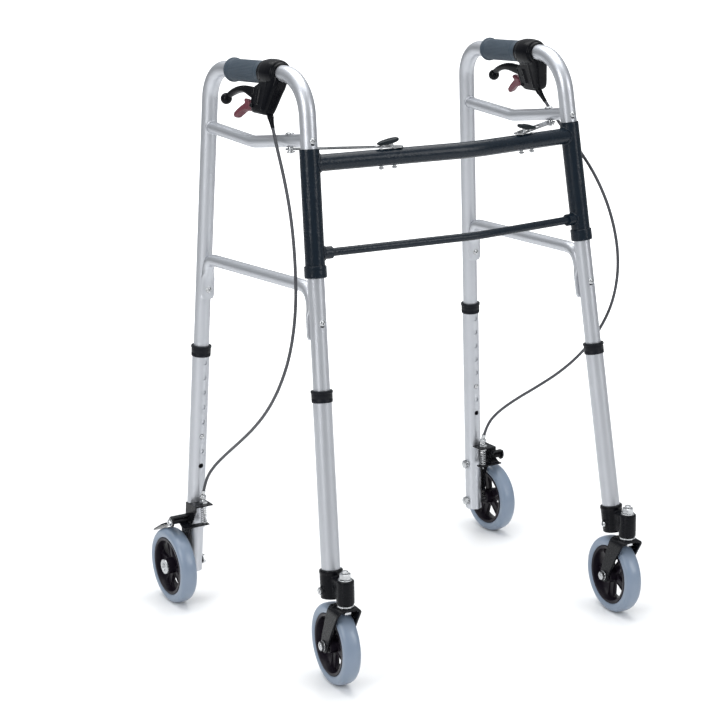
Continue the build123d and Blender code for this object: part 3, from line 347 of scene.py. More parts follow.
# ================================================================ mesh helpers, millimetres
class Shape:
    """Corners and faces of one piece, gathered from rings, lathes, plates and tubes."""

    def __init__(self):
        self.points = []
        self.faces = []

    def add(self, points, faces):
        base = len(self.points)
        self.points.extend(Vector(p) for p in points)
        self.faces.extend([base + i for i in face] for face in faces)
        return self

    def loft(self, rings, closed=False):
        """Joins rings of equally many corners; ends are capped unless the rings close."""
        count = len(rings[0])
        points = [p for ring in rings for p in ring]
        faces = []
        for j in range(len(rings) - (0 if closed else 1)):
            a, b = j * count, ((j + 1) % len(rings)) * count
            for i in range(count):
                k = (i + 1) % count
                faces.append([a + i, a + k, b + k, b + i])
        if not closed:
            faces.append(list(range(count))[::-1])
            faces.append([(len(rings) - 1) * count + i for i in range(count)])
        return self.add(points, faces)

    def lathe(self, origin, axis, profile, count=48, wave=0.0, waves=0, closed=False):
        """Turns (along, radius) pairs about an axis.  wave adds ribs that run along it."""
        u, v = across(axis)
        n = Vector(axis).normalized()
        rings = []
        for along, radius in profile:
            ring = []
            for i in range(count):
                a = 2 * pi * i / count
                r = radius + (wave * cos(waves * a) if wave else 0.0)
                ring.append(Vector(origin) + n * along + (u * cos(a) + v * sin(a)) * r)
            rings.append(ring)
        return self.loft(rings, closed)

    def plate(self, outline, origin, u, v, thick, centred=True):
        """A flat plate: outline (a, b) in the u, v axes, thick along their normal."""
        n = u.cross(v).normalized()
        low = -thick / 2 if centred else 0.0
        rings = [[origin + u * a + v * b + n * (low + t) for a, b in outline] for t in (0.0, thick)]
        return self.loft(rings)

    def tube(self, path, radius, count=16):
        """A round bar along a path, with frames carried smoothly along it."""
        rings = []
        u = across(path[1] - path[0])[0]
        for i, point in enumerate(path):
            n = (path[min(i + 1, len(path) - 1)] - path[max(i - 1, 0)]).normalized()
            u = (u - n * u.dot(n)).normalized()
            v = n.cross(u)
            r = radius(i / (len(path) - 1)) if callable(radius) else radius
            rings.append([point + (u * cos(2 * pi * k / count) + v * sin(2 * pi * k / count)) * r
                          for k in range(count)])
        return self.loft(rings)

    def hexagon(self, origin, axis, flats, height, chamfer=0.6):
        """A hexagon head or nut with chamfered corners."""
        u, v = across(axis)
        n = Vector(axis).normalized()
        corner = flats / cos(pi / 6)
        steps = ((0.0, corner - chamfer), (chamfer * 0.5, corner), (height - chamfer * 0.6, corner),
                 (height, corner - chamfer * 1.3))
        rings = [[Vector(origin) + n * h + (u * cos(k * pi / 3) + v * sin(k * pi / 3)) * r for k in range(6)]
                 for h, r in steps]
        return self.loft(rings)

    def washer(self, origin, axis, outer, thick, bore):
        edge = min(0.3, thick / 3)
        profile = [(0, bore), (0, outer - edge), (edge, outer), (thick - edge, outer),
                   (thick, outer - edge),
                   (thick, bore)]
        return self.lathe(origin, axis, profile, 36, closed=True)

    def tilted(self):
        """Turns the whole shape outwards about the handle, as the brake unit is clamped."""
        spin = Matrix.Rotation(radians(-BRAKE_TILT), 3, -HANDLE_WAY)
        centre = handle_at(0.0)
        self.points = [spin @ (p - centre) + centre for p in self.points]
        return self

    def round_head(self, origin, axis, radius, height, count=28):
        """A domed head."""
        profile = [(0.0, radius * 0.96)]
        profile += [(height * sin(a), radius * cos(a) ** 0.8) for a in (0.05, 0.3, 0.6, 0.9, 1.2, 1.42)]
        return self.lathe(origin, axis, profile, count)


def across(axis):
    """Two unit vectors square to an axis."""
    n = Vector(axis).normalized()
    u = n.cross(UP if abs(n.z) < 0.9 else BACK).normalized()
    return u, n.cross(u)


def smooth_line(corners, rounds, steps=8):
    """A polyline with round corners, as points: straight runs get only their ends."""
    line = [corners[0]]
    for before, here, after, radius in zip(corners, corners[1:], corners[2:], rounds):
        a = (before - here).normalized()
        b = (after - here).normalized()
        half = a.angle(b) / 2
        back = radius / max(abs(sin(half) / max(cos(half), 1e-6)), 1e-6)
        start, end = here + a * back, here + b * back
        for k in range(steps + 1):
            t = k / steps
            line.append(start * (1 - t) ** 2 + here * 2 * t * (1 - t) + end * t ** 2)
    return line + [corners[-1]]


def spread(line, gap):
    """The same line with points no further apart than gap."""
    out = [line[0]]
    for a, b in zip(line, line[1:]):
        count = max(1, int((b - a).length / gap + 0.5))
        out += [a + (b - a) * (k / count) for k in range(1, count + 1)]
    return out


def rounded(width, height, corner, steps=4):
    """A rounded rectangle as (across, up) pairs, centred."""
    pairs = []
    for sx, sy, first in ((1, 1, 0), (-1, 1, 1), (-1, -1, 2), (1, -1, 3)):
        for k in range(steps + 1):
            a = (first + k / steps) * pi / 2
            pairs.append((sx * (width / 2 - corner) + corner * cos(a),
                          sy * (height / 2 - corner) + corner * sin(a)))
    return pairs


def superellipse(width, height, power, count=32):
    pairs = []
    for k in range(count):
        c, s = cos(2 * pi * k / count), sin(2 * pi * k / count)
        pairs.append((width / 2 * abs(c) ** (2 / power) * (1 if c > 0 else -1),
                      height / 2 * abs(s) ** (2 / power) * (1 if s > 0 else -1)))
    return pairs


def settle(shape):
    """Replaces a piece's modifiers by their result."""
    bpy.context.view_layer.update()
    mesh = bpy.data.meshes.new_from_object(shape.evaluated_get(bpy.context.evaluated_depsgraph_get()))
    shape.modifiers.clear()
    shape.data = mesh


def make(name, shape, finish, mirrored=False, bevel=0.0, fuse=0.0, relax=0, subdivide=0, cut=None,
         sharp=38):
    """A Blender object of a shape: optionally fused into one skin, relaxed, cut and bevelled."""
    sign = -1 if mirrored else 1
    points = [(p.x * MM * sign, p.y * MM, p.z * MM) for p in shape.points]
    faces = [face[::-1] for face in shape.faces] if mirrored else shape.faces
    mesh = bpy.data.meshes.new(name)
    mesh.from_pydata(points, [], faces)
    mesh.materials.append(FINISHES[finish].material)
    item = bpy.data.objects.new(name, mesh)
    bpy.context.scene.collection.objects.link(item)
    tidy = outward(mesh)
    if fuse:
        skin = item.modifiers.new("fuse", "REMESH")
        skin.mode = "VOXEL"
        skin.voxel_size = fuse * MM
        skin.use_smooth_shade = True
    if relax:
        soft = item.modifiers.new("relax", "SMOOTH")
        soft.factor = 0.6
        soft.iterations = relax
    if subdivide:
        item.modifiers.new("rounder", "SUBSURF").levels = subdivide
    cutter = None
    if cut is not None:
        cutter = make(name + "_cutter", cut, finish, mirrored)
        hole = item.modifiers.new("hole", "BOOLEAN")
        hole.operation = "DIFFERENCE"
        hole.solver = "EXACT"
        hole.object = cutter
    if bevel:
        edge = item.modifiers.new("edge", "BEVEL")
        edge.width = bevel * MM
        edge.segments = 2
        edge.limit_method = "ANGLE"
        edge.angle_limit = radians(40)
    if item.modifiers:
        settle(item)
    if cutter:
        bpy.data.objects.remove(cutter)
    item.data.shade_smooth()
    item.data.set_sharp_from_angle(angle=radians(sharp))
    return item


def outward(mesh):
    """Turns every closed shell's faces outward."""
    work = bmesh.new()
    work.from_mesh(mesh)
    bmesh.ops.recalc_face_normals(work, faces=work.faces)
    work.to_mesh(mesh)
    work.free()
    return mesh


def turn_caster(shape):
    """The caster stands a little turned about its swivel.  Both casters are turned the same way."""
    done = []
    for side in SIDES:
        sign = 1 if side == "left" else -1
        centre = Vector((SWIVEL_X, SWIVEL_Y, 0))
        spin = Matrix.Rotation(radians(-CASTER_TURN) * sign, 3, "Z")
        turned = Shape()
        turned.add([spin @ (p - centre) + centre for p in shape.points], shape.faces)
        done.append(turned)
    return done


def pair(name, shape, body, finish, stands_for=(), **how):
    """The left and right piece of one shape, each riding on its side's body."""
    shapes = shape if isinstance(shape, list) else [shape, shape]
    made = []
    for side, drawn in zip(SIDES, shapes):
        item = make(f"{side}_{name}", drawn, finish, mirrored=side == "right", **how)
        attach(item, f"{side}_{body}")
        for node in stands_for:
            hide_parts(f"{side}_{node}")
        made.append(item)
    return made


# ================================================================ brake cables
def brake_cables():
    for side in SIDES:
        sign = 1 if side == "left" else -1
        points = [Vector((x * sign, y, z)) * MM for x, y, z in CABLE_POINTS]
        curve = bpy.data.curves.new(f"{side}_route", "CURVE")
        curve.dimensions = "3D"
        spline = curve.splines.new("NURBS")
        spline.points.add(len(points) - 1)
        for knot, point in zip(spline.points, points):
            knot.co = (*point, 1.0)
        spline.order_u = 3
        spline.use_endpoint_u = True
        curve.resolution_u = 10
        route = bpy.data.objects.new(f"{side}_route", curve)
        bpy.context.scene.collection.objects.link(route)
        bpy.context.view_layer.update()
        line = bpy.data.meshes.new_from_object(route.evaluated_get(bpy.context.evaluated_depsgraph_get()))
        path = [v.co.copy() for v in line.vertices]
        bpy.data.objects.remove(route)
        jacket = Shape().tube([p / MM * 1.0 for p in path], CABLE_R, 20)
        item = make(f"{side}_cable", jacket, "cable_jacket")
        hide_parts(f"{side}_brake_cable")
        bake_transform(item)


def ring_tube(points, radius, count=10):
    """A closed bead along a loop of points, a little uneven as a weld is."""
    rings = []
    total = len(points)
    centre = sum(points, Vector()) / total
    for i, point in enumerate(points):
        n = (points[(i + 1) % total] - points[i - 1]).normalized()
        u = (point - centre)
        u = (u - n * u.dot(n)).normalized()
        v = n.cross(u)
        r = radius * (1.0 + 0.12 * sin(i * 2.1))
        angles = [2 * pi * k / count for k in range(count)]
        rings.append([point + (u * cos(a) + v * sin(a)) * r for a in angles])
    return Shape().loft(rings, closed=True)


def weld(bar_end, bar_way, bar_r, leg_at, leg_dir, leg_r, radius=1.7, count=48):
    """The bead where a bar meets a leg: the curve in which the two cylinders cross."""
    u, v = across(bar_way)
    way = Vector(bar_way).normalized()
    loop = []
    for i in range(count):
        a = 2 * pi * i / count
        q = bar_end + (u * cos(a) + v * sin(a)) * (bar_r + 0.2) - leg_at
        flat_q = q - leg_dir * q.dot(leg_dir)
        flat_w = way - leg_dir * way.dot(leg_dir)
        half_b = flat_q.dot(flat_w)
        inside = half_b ** 2 - flat_w.dot(flat_w) * (flat_q.dot(flat_q) - (leg_r + 0.3) ** 2)
        t = (-half_b + sqrt(max(inside, 0.0))) / flat_w.dot(flat_w)
        loop.append(q + leg_at + way * t)
    return ring_tube(loop, radius)


# ================================================================ handle, grip and brake housing
def handle_at(y):
    rear, front = side_point(*HANDLE_REAR), side_point(*HANDLE_FRONT)
    return rear + (front - rear) * ((y - rear.y) / (front.y - rear.y))


HANDLE_WAY = (handle_at(0.0) - handle_at(1.0)).normalized()


def hand_grip():
    start = handle_at(GRIP_REAR_Y)
    length = (handle_at(GRIP_FRONT_Y) - start).length
    rows = [(0.0, 12.8, 0), (0.0, 17.6, 0), (0.5, 18.6, 0), (1.4, 19.0, 0), (3.2, 19.0, 0), (4.2, 18.6, 0),
            (5.0, 17.4, 0), (9.0, 17.1, 0), (10.0, 16.7, 0), (11.0, 16.8, 0.26)]
    rows += [(12.0 + k * (length - 26.0) / 6, 16.9, 0.26) for k in range(7)]
    rows += [(length - 11.0, 16.8, 0.26), (length - 10.0, 16.7, 0), (length - 9.0, 17.1, 0),
             (length - 1.4, 17.1, 0), (length - 0.4, 16.6, 0), (length, 15.8, 0), (length, 12.8, 0)]
    u, v = across(HANDLE_WAY)
    rings = []
    for along, radius, wave in rows:
        ring = []
        for i in range(192):
            a = 2 * pi * i / 192
            r = radius + wave * cos(48 * a)
            ring.append(start + HANDLE_WAY * along + (u * cos(a) + v * sin(a)) * r)
        rings.append(ring)
    pair("grip", Shape().loft(rings, closed=True), "side", "slate_rubber", ("hand_grip",))


def brake_housing():
    skin = Shape()
    clamp = [(0.0, 15.6), (0.6, 17.8), (1.8, 19.0), (4.5, 19.4), (6.5, 18.8), (8.0, 19.6), (13.0, 21.0),
             (22.0, 21.2),
             (31.0, 20.9), (38.0, 20.0), (41.5, 19.4), (43.0, 18.2), (43.8, 16.2), (47.0, 15.6),
             (48.0, 14.6)]
    skin.lathe(handle_at(14.4), HANDLE_WAY, clamp, 56)
    levels = [(899.0, -37.0, 13.0, 13.0), (892.0, -38.5, 13.2, 13.6), (882.0, -36.5, 14.0, 13.6),
              (878.5, -35.5, 22.0, 13.6),
              (876.0, -34.6, 26.0, 13.4), (864.0, -30.5, 26.4, 12.8), (852.0, -27.0, 25.8, 12.0),
              (845.0, -24.5, 25.0, 11.2),
              (840.5, -22.0, 22.5, 10.2), (838.0, -18.5, 19.0, 8.6)]
    rings = []
    for z, front_y, rear_y, half in levels:
        middle = side_point((front_y + rear_y) / 2, z)
        rings.append([middle + SIDE_NORMAL * a + BACK * b
                      for a, b in superellipse(2 * half, rear_y - front_y, 4.5, 40)])
    skin.loft(rings)
    for way in (1, -1):
        for y, top in ((-17.0, 888.0), (19.5, 874.0)):
            rib = [side_point(y, top, way * 12.2), side_point(y * 0.84, 845.0, way * 9.8)]
            skin.tube(spread(rib, 6.0), 2.6, 12)
        panel = [side_point(1.0, 876.0, way * 12.4), side_point(1.0, 852.0, way * 11.2)]
        skin.tube(spread(panel, 6.0), 4.0, 16)
    hollow = Shape()
    slot = [(70, 886), (70, 826), (-14, 826), (-14, 886)]
    wall = 3.7
    hollow.loft([[side_point(y, z, w) for y, z in slot] for w in (-wall, wall)])
    hollow.tilted()
    skin.tilted()
    hollow.tube([handle_at(40.0), handle_at(0.0), handle_at(-60.0)], TUBE_R + 0.25, 48)
    pair("housing", skin, "side", "black_plastic", ("brake_housing",), fuse=1.0, relax=4, cut=hollow)
    exit_point = Vector(CABLE_POINTS[0])
    way = (Vector(CABLE_POINTS[1]) - exit_point).normalized()
    boot = [(-13.0, 2.9), (-13.0, 5.0), (-3.0, 5.0), (-2.0, 4.2), (1.0, 4.2), (2.0, 3.9), (6.0, 3.5),
            (14.0, 3.0), (15.0, 2.8), (15.0, 2.55)]
    pair("gland", Shape().lathe(exit_point, way, boot, 28, closed=True), "side", "black_plastic")


def brake_lever():
    stations = [(-8, 865, 9, 5), (-4, 865, 15, 5), (14, 866, 17, 5), (26, 866.8, 18, 5), (34, 867.2, 18, 6),
                (44, 868, 16.5, 8.5), (55, 870, 13, 11), (68, 870.6, 10.6, 12.5), (85, 867, 9.8, 12.5),
                (98, 862, 9.6, 10.5), (108, 856.5, 9.4, 8.5), (113.5, 852, 8, 7)]
    rings = []
    path = [side_point(y, z) for y, z, _, _ in stations]
    for i, (y, z, high, wide) in enumerate(stations):
        ahead = (path[min(i + 1, len(path) - 1)] - path[max(i - 1, 0)]).normalized()
        up = SIDE_NORMAL.cross(ahead).normalized()
        rings.append([path[i] + SIDE_NORMAL * a + up * b for a, b in superellipse(wide, high, 3.0, 20)])
    lever = Shape().loft(rings).tilted()
    items = pair("lever_blade", lever, "lever", "black_plastic", ("brake_lever",), subdivide=1)
    ball = [(-BALL_R * cos(pi * k / 20), BALL_R * sin(pi * k / 20)) for k in range(1, 20)]
    pair("lever_ball", Shape().lathe(side_point(*BALL), SIDE_NORMAL, ball, 32).tilted(), "lever",
         "black_plastic")
    return items


def parking_lock():
    skin = Shape()

    def arm(stations):
        path = [side_point(y, z) for y, z, _, _ in stations]
        rings = []
        for i, (y, z, high, wide) in enumerate(stations):
            ahead = (path[min(i + 1, len(path) - 1)] - path[max(i - 1, 0)]).normalized()
            up = SIDE_NORMAL.cross(ahead).normalized()
            rings.append([path[i] + SIDE_NORMAL * a + up * b for a, b in superellipse(wide, high, 3.2, 20)])
        skin.loft(rings)

    arm([(9, 847, 11, 4.4), (24, 847, 13, 4.4), (34, 847.5, 13, 4.6), (46, 848, 13, 9)])
    arm([(36, 847, 9, 8), (44, 846, 14, 11), (54, 841, 11, 13), (62, 835.5, 10.5, 14),
         (70, 829.5, 9.5, 13.5),
         (73, 827, 6, 10)])
    arm([(38, 850, 8, 8), (47, 852.5, 9, 10), (54, 854.5, 5, 8)])
    skin.lathe(side_point(42, 847, -5.5), SIDE_NORMAL, [(0, 7.0), (0.8, 8.0), (10.2, 8.0), (11, 7.0)], 28)
    pair("lock_paddle", skin.tilted(), "lock", "maroon_plastic", ("parking_lock",), fuse=0.8, relax=3)


# ================================================================ side frame details
def lower_brace():
    corners = [rear_axis(TAIL_END_Z) - BACK * TAIL_SET, rear_axis(LOWER_BRACE_Z["rear"]) - BACK * TAIL_SET,
               front_axis(LOWER_BRACE_Z["front"]) + BACK * TAIL_SET,
               front_axis(TAIL_END_Z) + BACK * TAIL_SET]
    path = spread(smooth_line(corners, [24.0, 32.0], 14), 4.0)
    rings = []
    for i, point in enumerate(path):
        ahead = (path[min(i + 1, len(path) - 1)] - path[max(i - 1, 0)]).normalized()
        up = SIDE_NORMAL.cross(ahead).normalized()
        flat = min(max((TAIL_TOP_Z - point.z) / (TAIL_TOP_Z - TAIL_FLAT_Z), 0.0), 1.0)
        flat = flat * flat * (3 - 2 * flat)
        near_end = min(max((point.z - TAIL_END_Z) / 5.0, 0.0), 1.0)
        wide = (BRACE_R + (TAIL_WIDTH / 2 - BRACE_R) * flat) * (0.82 + 0.18 * sqrt(near_end))
        high = BRACE_R + (TAIL_THICK - 0.6 - BRACE_R) * flat
        ring = []
        for k in range(36):
            a = 2 * pi * k / 36
            ring.append(clear_of_legs(point + SIDE_NORMAL * wide * cos(a) + up * high * sin(a)))
        rings.append(ring)
    pair("saddle_brace", Shape().loft(rings), "side", "satin_aluminium", ("lower_brace",), sharp=50)


def clear_of_legs(point, radius=TUBE_R + 0.06):
    """Moves a point straight out of a leg that it would be inside."""
    for axis_at, way in ((front_axis, FRONT_DIR), (rear_axis, REAR_DIR)):
        foot = axis_at(0.0)
        foot = foot + way * (point - foot).dot(way)
        gap = point - foot
        if gap.length < radius:
            point = foot + gap.normalized() * radius
    return point


def side_welds():
    rear, dip = rear_axis(UPPER_BRACE["rear_z"]), side_point(*UPPER_BRACE["dip"])
    bead = weld(rear, dip - rear, BRACE_R, rear, REAR_DIR, TUBE_R)
    pair("brace_weld", bead, "side", "satin_aluminium")


def recessed_head(shape, origin, way, radius, height):
    """A domed screw head with a round drive recess."""
    profile = [(0.0, radius * 0.9), (0.25, radius), (height * 0.5, radius * 0.93),
               (height * 0.85, radius * 0.7),
               (height, radius * 0.46), (height * 0.92, radius * 0.40), (height * 0.35, radius * 0.36)]
    return shape.lathe(origin, way, profile, 24)


def side_fasteners():
    metal = Shape()
    screw = front_axis(UPPER_BRACE["front_z"]) - BACK * (TUBE_R - 0.7)
    recessed_head(metal, screw, -BACK, 5.0, 2.6)
    rivet_front = front_axis(RIVET_Z[0]) - BACK * (TUBE_R - 0.7)
    recessed_head(metal, rivet_front, -BACK, 5.0, 2.4)
    rivet_rear = rear_axis(RIVET_Z[1]) - BACK * (TAIL_SET + TAIL_THICK - 0.7)
    recessed_head(metal, rivet_rear, -BACK, 5.0, 2.4)
    metal.round_head(rear_axis(RIVET_Z[1]) + BACK * (TUBE_R - 0.3), BACK, 4.4, 1.8)
    metal.round_head(front_axis(RIVET_Z[0]) + BACK * (TAIL_SET + TAIL_THICK - 0.8), BACK, 4.4, 1.8)
    low, high = side_point(*UPPER_BRACE["dip"]), front_axis(UPPER_BRACE["front_z"])
    centre = low + (high - low) * ((LINK_PIN_Y - low.y) / (high.y - low.y))
    foot = centre - FRONT_DIR * (centre.z - LINK_Z + 4.6)
    top = centre + FRONT_DIR * (BRACE_R + 0.3)
    metal.tube([foot, top], 4.0, 24)
    recessed_head(metal, top - FRONT_DIR * 0.1, FRONT_DIR, 7.0, 2.8)
    metal.washer(foot, FRONT_DIR, 6.4, 2.2, 2.0)
    metal.round_head(foot + FRONT_DIR * 0.1, -FRONT_DIR, 4.0, 1.6)
    pair("fasteners", metal, "side", "zinc_steel", ("side_fasteners",))
    pins = Shape()
    for pivot in (LEVER_PIVOT, LOCK_PIVOT):
        for way in (1, -1):
            recessed_head(pins, side_point(*pivot, way * 11.5), SIDE_NORMAL * way, 3.4, 2.6)
    pair("housing_pins", pins.tilted(), "side", "black_metal")


# ================================================================ legs
def collars():
    profile = [(0.0, 14.35), (0.0, 15.3), (0.7, 16.0), (5.5, 16.1), (6.1, 15.7), (6.7, 16.1), (13.6, 16.1),
               (14.4, 16.9),
               (17.2, 16.9), (18.0, 16.2), (18.0, 12.95), (15.2, 12.95), (15.2, 14.35)]
    for name, axis_at, way in (("front", front_axis, FRONT_DIR), ("rear", rear_axis, REAR_DIR)):
        base = axis_at(COLLAR_TOP_Z[name]) - way * 18.0
        ring = Shape().lathe(base, way, profile, 56, closed=True)
        pair(f"{name}_leg_collar", ring, f"{name}_leg_body", "collar_plastic", (f"{name}_collar",))


def snap_buttons():
    for name, axis_at, z, way in (("front", front_axis, 296.5, 1), ("rear", rear_axis, 285.8, -1)):
        profile = [(4.0, 3.9), (13.4, 3.9), (14.6, 3.8), (15.6, 3.3), (16.1, 2.4), (16.3, 0.8)]
        knob = Shape().lathe(axis_at(z), BACK * way, profile, 28)
        pair(f"{name}_snap_knob", knob, f"{name}_snap", "zinc_steel", (f"{name}_button",))


# ================================================================ wheels
def wheel(name, centre, body, turn, arrange):
    rounds = [(-11.6, 48.6), (-13.1, 49.8), (-13.8, 52.0), (-14.0, 55.0), (-13.7, 57.6), (-12.7, 59.9),
              (-12.2, 60.3),
              (-10.4, 61.9), (-7.6, 63.0), (-4.0, 63.45), (0.0, 63.5)]
    profile = rounds + [(-a, r) for a, r in rounds[-2::-1]]
    tread = Shape().lathe(centre, OUT, profile, 120, closed=True)
    pair(f"{name}_tyre_ring", arrange(tread), body, "blue_grey_tyre", (f"{name}_tyre",))
    hub = Shape()
    hub.lathe(centre, OUT, [(-12.6, 43.6), (-13.0, 44.4), (-13.2, 47.8), (-12.4, 48.9), (-8.0, 48.8),
                            (8.0, 48.8),
                            (12.4, 48.9), (13.2, 47.8), (13.0, 44.4), (12.6, 43.6), (4.4, 40.6),
                            (-4.4, 40.6)],
              96, closed=True)
    hub.lathe(centre, OUT, [(-15.0, 4.3), (-15.0, 11.6), (-14.2, 12.6), (-6.0, 13.8), (6.0, 13.8),
                            (14.2, 12.6),
                            (15.0, 11.6), (15.0, 4.3)], 48, closed=True)
    for index in range(5):
        a = 2 * pi * index / 5 + radians(turn)
        radial = BACK * sin(a) + UP * cos(a)
        wide = OUT.cross(radial)
        web = []
        for r, half in ((12.0, 8.2), (18.0, 7.0), (26.0, 6.8), (34.0, 8.2), (38.5, 11.4), (42.0, 16.0)):
            web.append([centre + radial * r + wide * b + OUT * c for b,
                        c in rounded(2 * half, 5.0, 1.6, 3)])
        hub.loft(web)
        for offset_in, offset_out, high in ((-5.6, -6.4, 6.6), (5.6, 6.4, 6.6)):
            rib = []
            for r, share in ((11.5, 0.0), (20.0, 0.3), (32.0, 0.7), (43.0, 1.0)):
                shift = offset_in + (offset_out - offset_in) * share
                rib.append([centre + radial * r + wide * (shift + b) + OUT * c
                            for b, c in rounded(2.0, high + 2.0 * share, 0.8, 2)])
            hub.loft(rib)
    pair(f"{name}_wheel_rim", arrange(hub), body, "rim_plastic", (f"{name}_rim",))
    races = Shape()
    for way in (-1, 1):
        face = centre + OUT * way * 9.6
        races.lathe(face, OUT * way, [(0, 4.3), (5.6, 4.3), (5.8, 4.6), (5.8, 5.4), (5.2, 5.6), (5.2, 6.6),
                                      (5.8, 6.8), (5.8, 7.8), (5.4, 8.2), (0, 8.2)], 36, closed=True)
    pair(f"{name}_bearing_races", arrange(races), body, "zinc_steel")


def plain(shape):
    return [shape, shape]


def rear_axle():
    return Vector((REAR_WHEEL_X, rear_axis(WHEEL_R).y, WHEEL_R))


def wheels():
    wheel("rear", rear_axle(), "rear_wheel", 14.0, plain)
    wheel("caster", Vector((SWIVEL_X, SWIVEL_Y + CASTER_TRAIL, WHEEL_R)), "caster_wheel", 30.0, turn_caster)


# ================================================================ casters
def caster_bracket():
    skin = Shape()
    base = front_axis(SOCKET_END_Z)
    height = (front_axis(SOCKET_TOP_Z) - base).length
    profile = [(0.0, 15.5), (0.8, 17.2), (1.8, 17.6), (height - 6.0, 17.6), (height - 5.0, 18.2),
               (height - 1.5, 18.2),
               (height - 0.4, 17.4), (height, 16.0)]
    skin.lathe(base, FRONT_DIR, profile, 48)
    swivel = Vector((SWIVEL_X, SWIVEL_Y, HEAD_END_Z))
    skin.lathe(swivel, UP, [(0.0, 12.0), (0.6, 13.3), (2.0, 13.9), (30.0, 13.7), (36.0, 13.6), (37.4, 13.0),
                            (38.0, 11.6)], 48)
    leg = front_axis(159.0)
    middle = Vector(((SWIVEL_X + leg.x) / 2, (SWIVEL_Y + leg.y) / 2, 159.0))
    gap = leg.y - SWIVEL_Y
    rings = []
    for y in (SWIVEL_Y + 2.0, SWIVEL_Y + gap * 0.5, leg.y - 2.0):
        rings.append([Vector((middle.x, y, 159.5)) + OUT * a + UP * b for a, b in rounded(17.0, 32.0, 3.0)])
    skin.loft(rings)
    ear = front_axis(152.0)
    skin.lathe(ear - OUT * 19.2, OUT, [(0, 6.0), (1.0, 6.8), (37.4, 6.8), (38.4, 6.0)], 28)
    hollow = Shape()
    hollow.tube([front_axis(141.2), front_axis(200.0)], OUTER_R + 0.05, 48)
    hollow.tube([swivel - UP * 10, swivel + UP * 60], 5.2, 28)
    pair("caster_socket", skin, "front_leg_body", "black_metal", ("caster_bracket",), fuse=0.9, relax=3,
         cut=hollow)
    bolt = Shape()
    recessed_head(bolt, ear - OUT * 19.0, -OUT, 4.6, 2.8)
    bolt.hexagon(ear + OUT * 19.0, OUT, 5.0, 3.6)
    bolt.tube([ear - OUT * 18.5, ear + OUT * 23.4], 2.9, 20)
    pair("socket_bolt", bolt, "front_leg_body", "zinc_steel")


def caster_fork():
    fork = Shape()
    half = FORK_GAP / 2 + FORK_WALL / 2
    axle_y = SWIVEL_Y + CASTER_TRAIL
    top_z = FORK_TOP_Z - FORK_WALL / 2
    foot_z = WHEEL_R - 11.0
    corners = [Vector((SWIVEL_X - half, 0, foot_z)), Vector((SWIVEL_X - half, 0, top_z)),
               Vector((SWIVEL_X + half, 0, top_z)), Vector((SWIVEL_X + half, 0, foot_z))]
    path = spread(smooth_line(corners, [9.0, 9.0], 10), 3.0)

    def reach(z):
        """Where the arm's front and rear edges are at a height."""
        if z < WHEEL_R:
            round_half = sqrt(max(11.5 ** 2 - (WHEEL_R - z) ** 2, 6.0))
            return axle_y - round_half, axle_y + round_half
        share = min((z - WHEEL_R) / (top_z - 4.0 - WHEEL_R), 1.0)
        lean = share ** 1.15
        front = (axle_y - 11.5) + (SWIVEL_Y - 15.0 - axle_y + 11.5) * lean
        back = (axle_y + 11.5) + (SWIVEL_Y + 21.0 - axle_y - 11.5) * lean
        return front, back

    rings = []
    for i, point in enumerate(path):
        ahead = (path[min(i + 1, len(path) - 1)] - path[max(i - 1, 0)]).normalized()
        n = ahead.cross(BACK).normalized()
        front, back = reach(point.z)
        edge = 0.7
        w = FORK_WALL / 2
        ring = []
        for y, t in ((front, -w + edge), (front + edge, -w), (back - edge, -w), (back, -w + edge),
                     (back, w - edge), (back - edge, w), (front + edge, w), (front, w - edge)):
            ring.append(Vector((point.x, y, point.z)) + n * t)
        rings.append(ring)
    fork.loft(rings)
    for way in (-1, 1):
        face = Vector((SWIVEL_X + way * (FORK_GAP / 2 + FORK_WALL - 0.2), axle_y, WHEEL_R))
        fork.lathe(face, OUT * way, [(0, 9.2), (0.6, 9.2), (1.0, 8.6), (1.0, 4.2)], 36)
    fork.lathe(Vector((SWIVEL_X, SWIVEL_Y, FORK_TOP_Z - 0.3)), UP,
               [(0, 14.4), (0.9, 14.0), (1.3, 12.9), (1.3, 5.3)], 40)
    pair("fork_yoke", turn_caster(fork), "caster", "black_metal", ("caster_fork",), sharp=45)
    metal = Shape()
    swivel = Vector((SWIVEL_X, SWIVEL_Y, 0.0))
    metal.lathe(swivel + UP * (FORK_TOP_Z + 1.1), UP, [(0, 5.2), (0, 12.2), (0.5, 12.8), (2.4, 12.8),
                                                       (2.9, 12.2), (2.9, 5.2)],
                40, closed=True)
    metal.washer(swivel + UP * (HEAD_TOP_Z + 0.2), UP, 10.6, 1.7, 5.1)
    metal.hexagon(swivel + UP * (HEAD_TOP_Z + 1.9), UP, 8.0, 8.2, 0.9)
    metal.tube([swivel + UP * (FORK_TOP_Z - 8), swivel + UP * (HEAD_TOP_Z + 13.6)], 4.9, 28)
    metal.round_head(swivel + UP * (HEAD_TOP_Z + 13.4), UP, 4.7, 1.2)
    metal.hexagon(swivel + UP * (FORK_TOP_Z - FORK_WALL - 6.4), UP, 8.4, 6.2, 0.9)
    for way in (-1, 1):
        face = Vector((SWIVEL_X + way * (FORK_GAP / 2 + FORK_WALL + 0.7), axle_y, WHEEL_R))
        metal.washer(face, OUT * way, 7.8, 1.2, 4.0)
        metal.hexagon(face + OUT * way * 1.2, OUT * way, 6.4, 4.4, 0.7)
        metal.round_head(face + OUT * way * 5.4, OUT * way, 3.9, 1.5)
        metal.tube([face - OUT * way * 4.5, face + OUT * way * 5.5], 3.9, 20)
    pair("caster_bolts", turn_caster(metal), "caster", "zinc_steel", ("caster_hardware",))


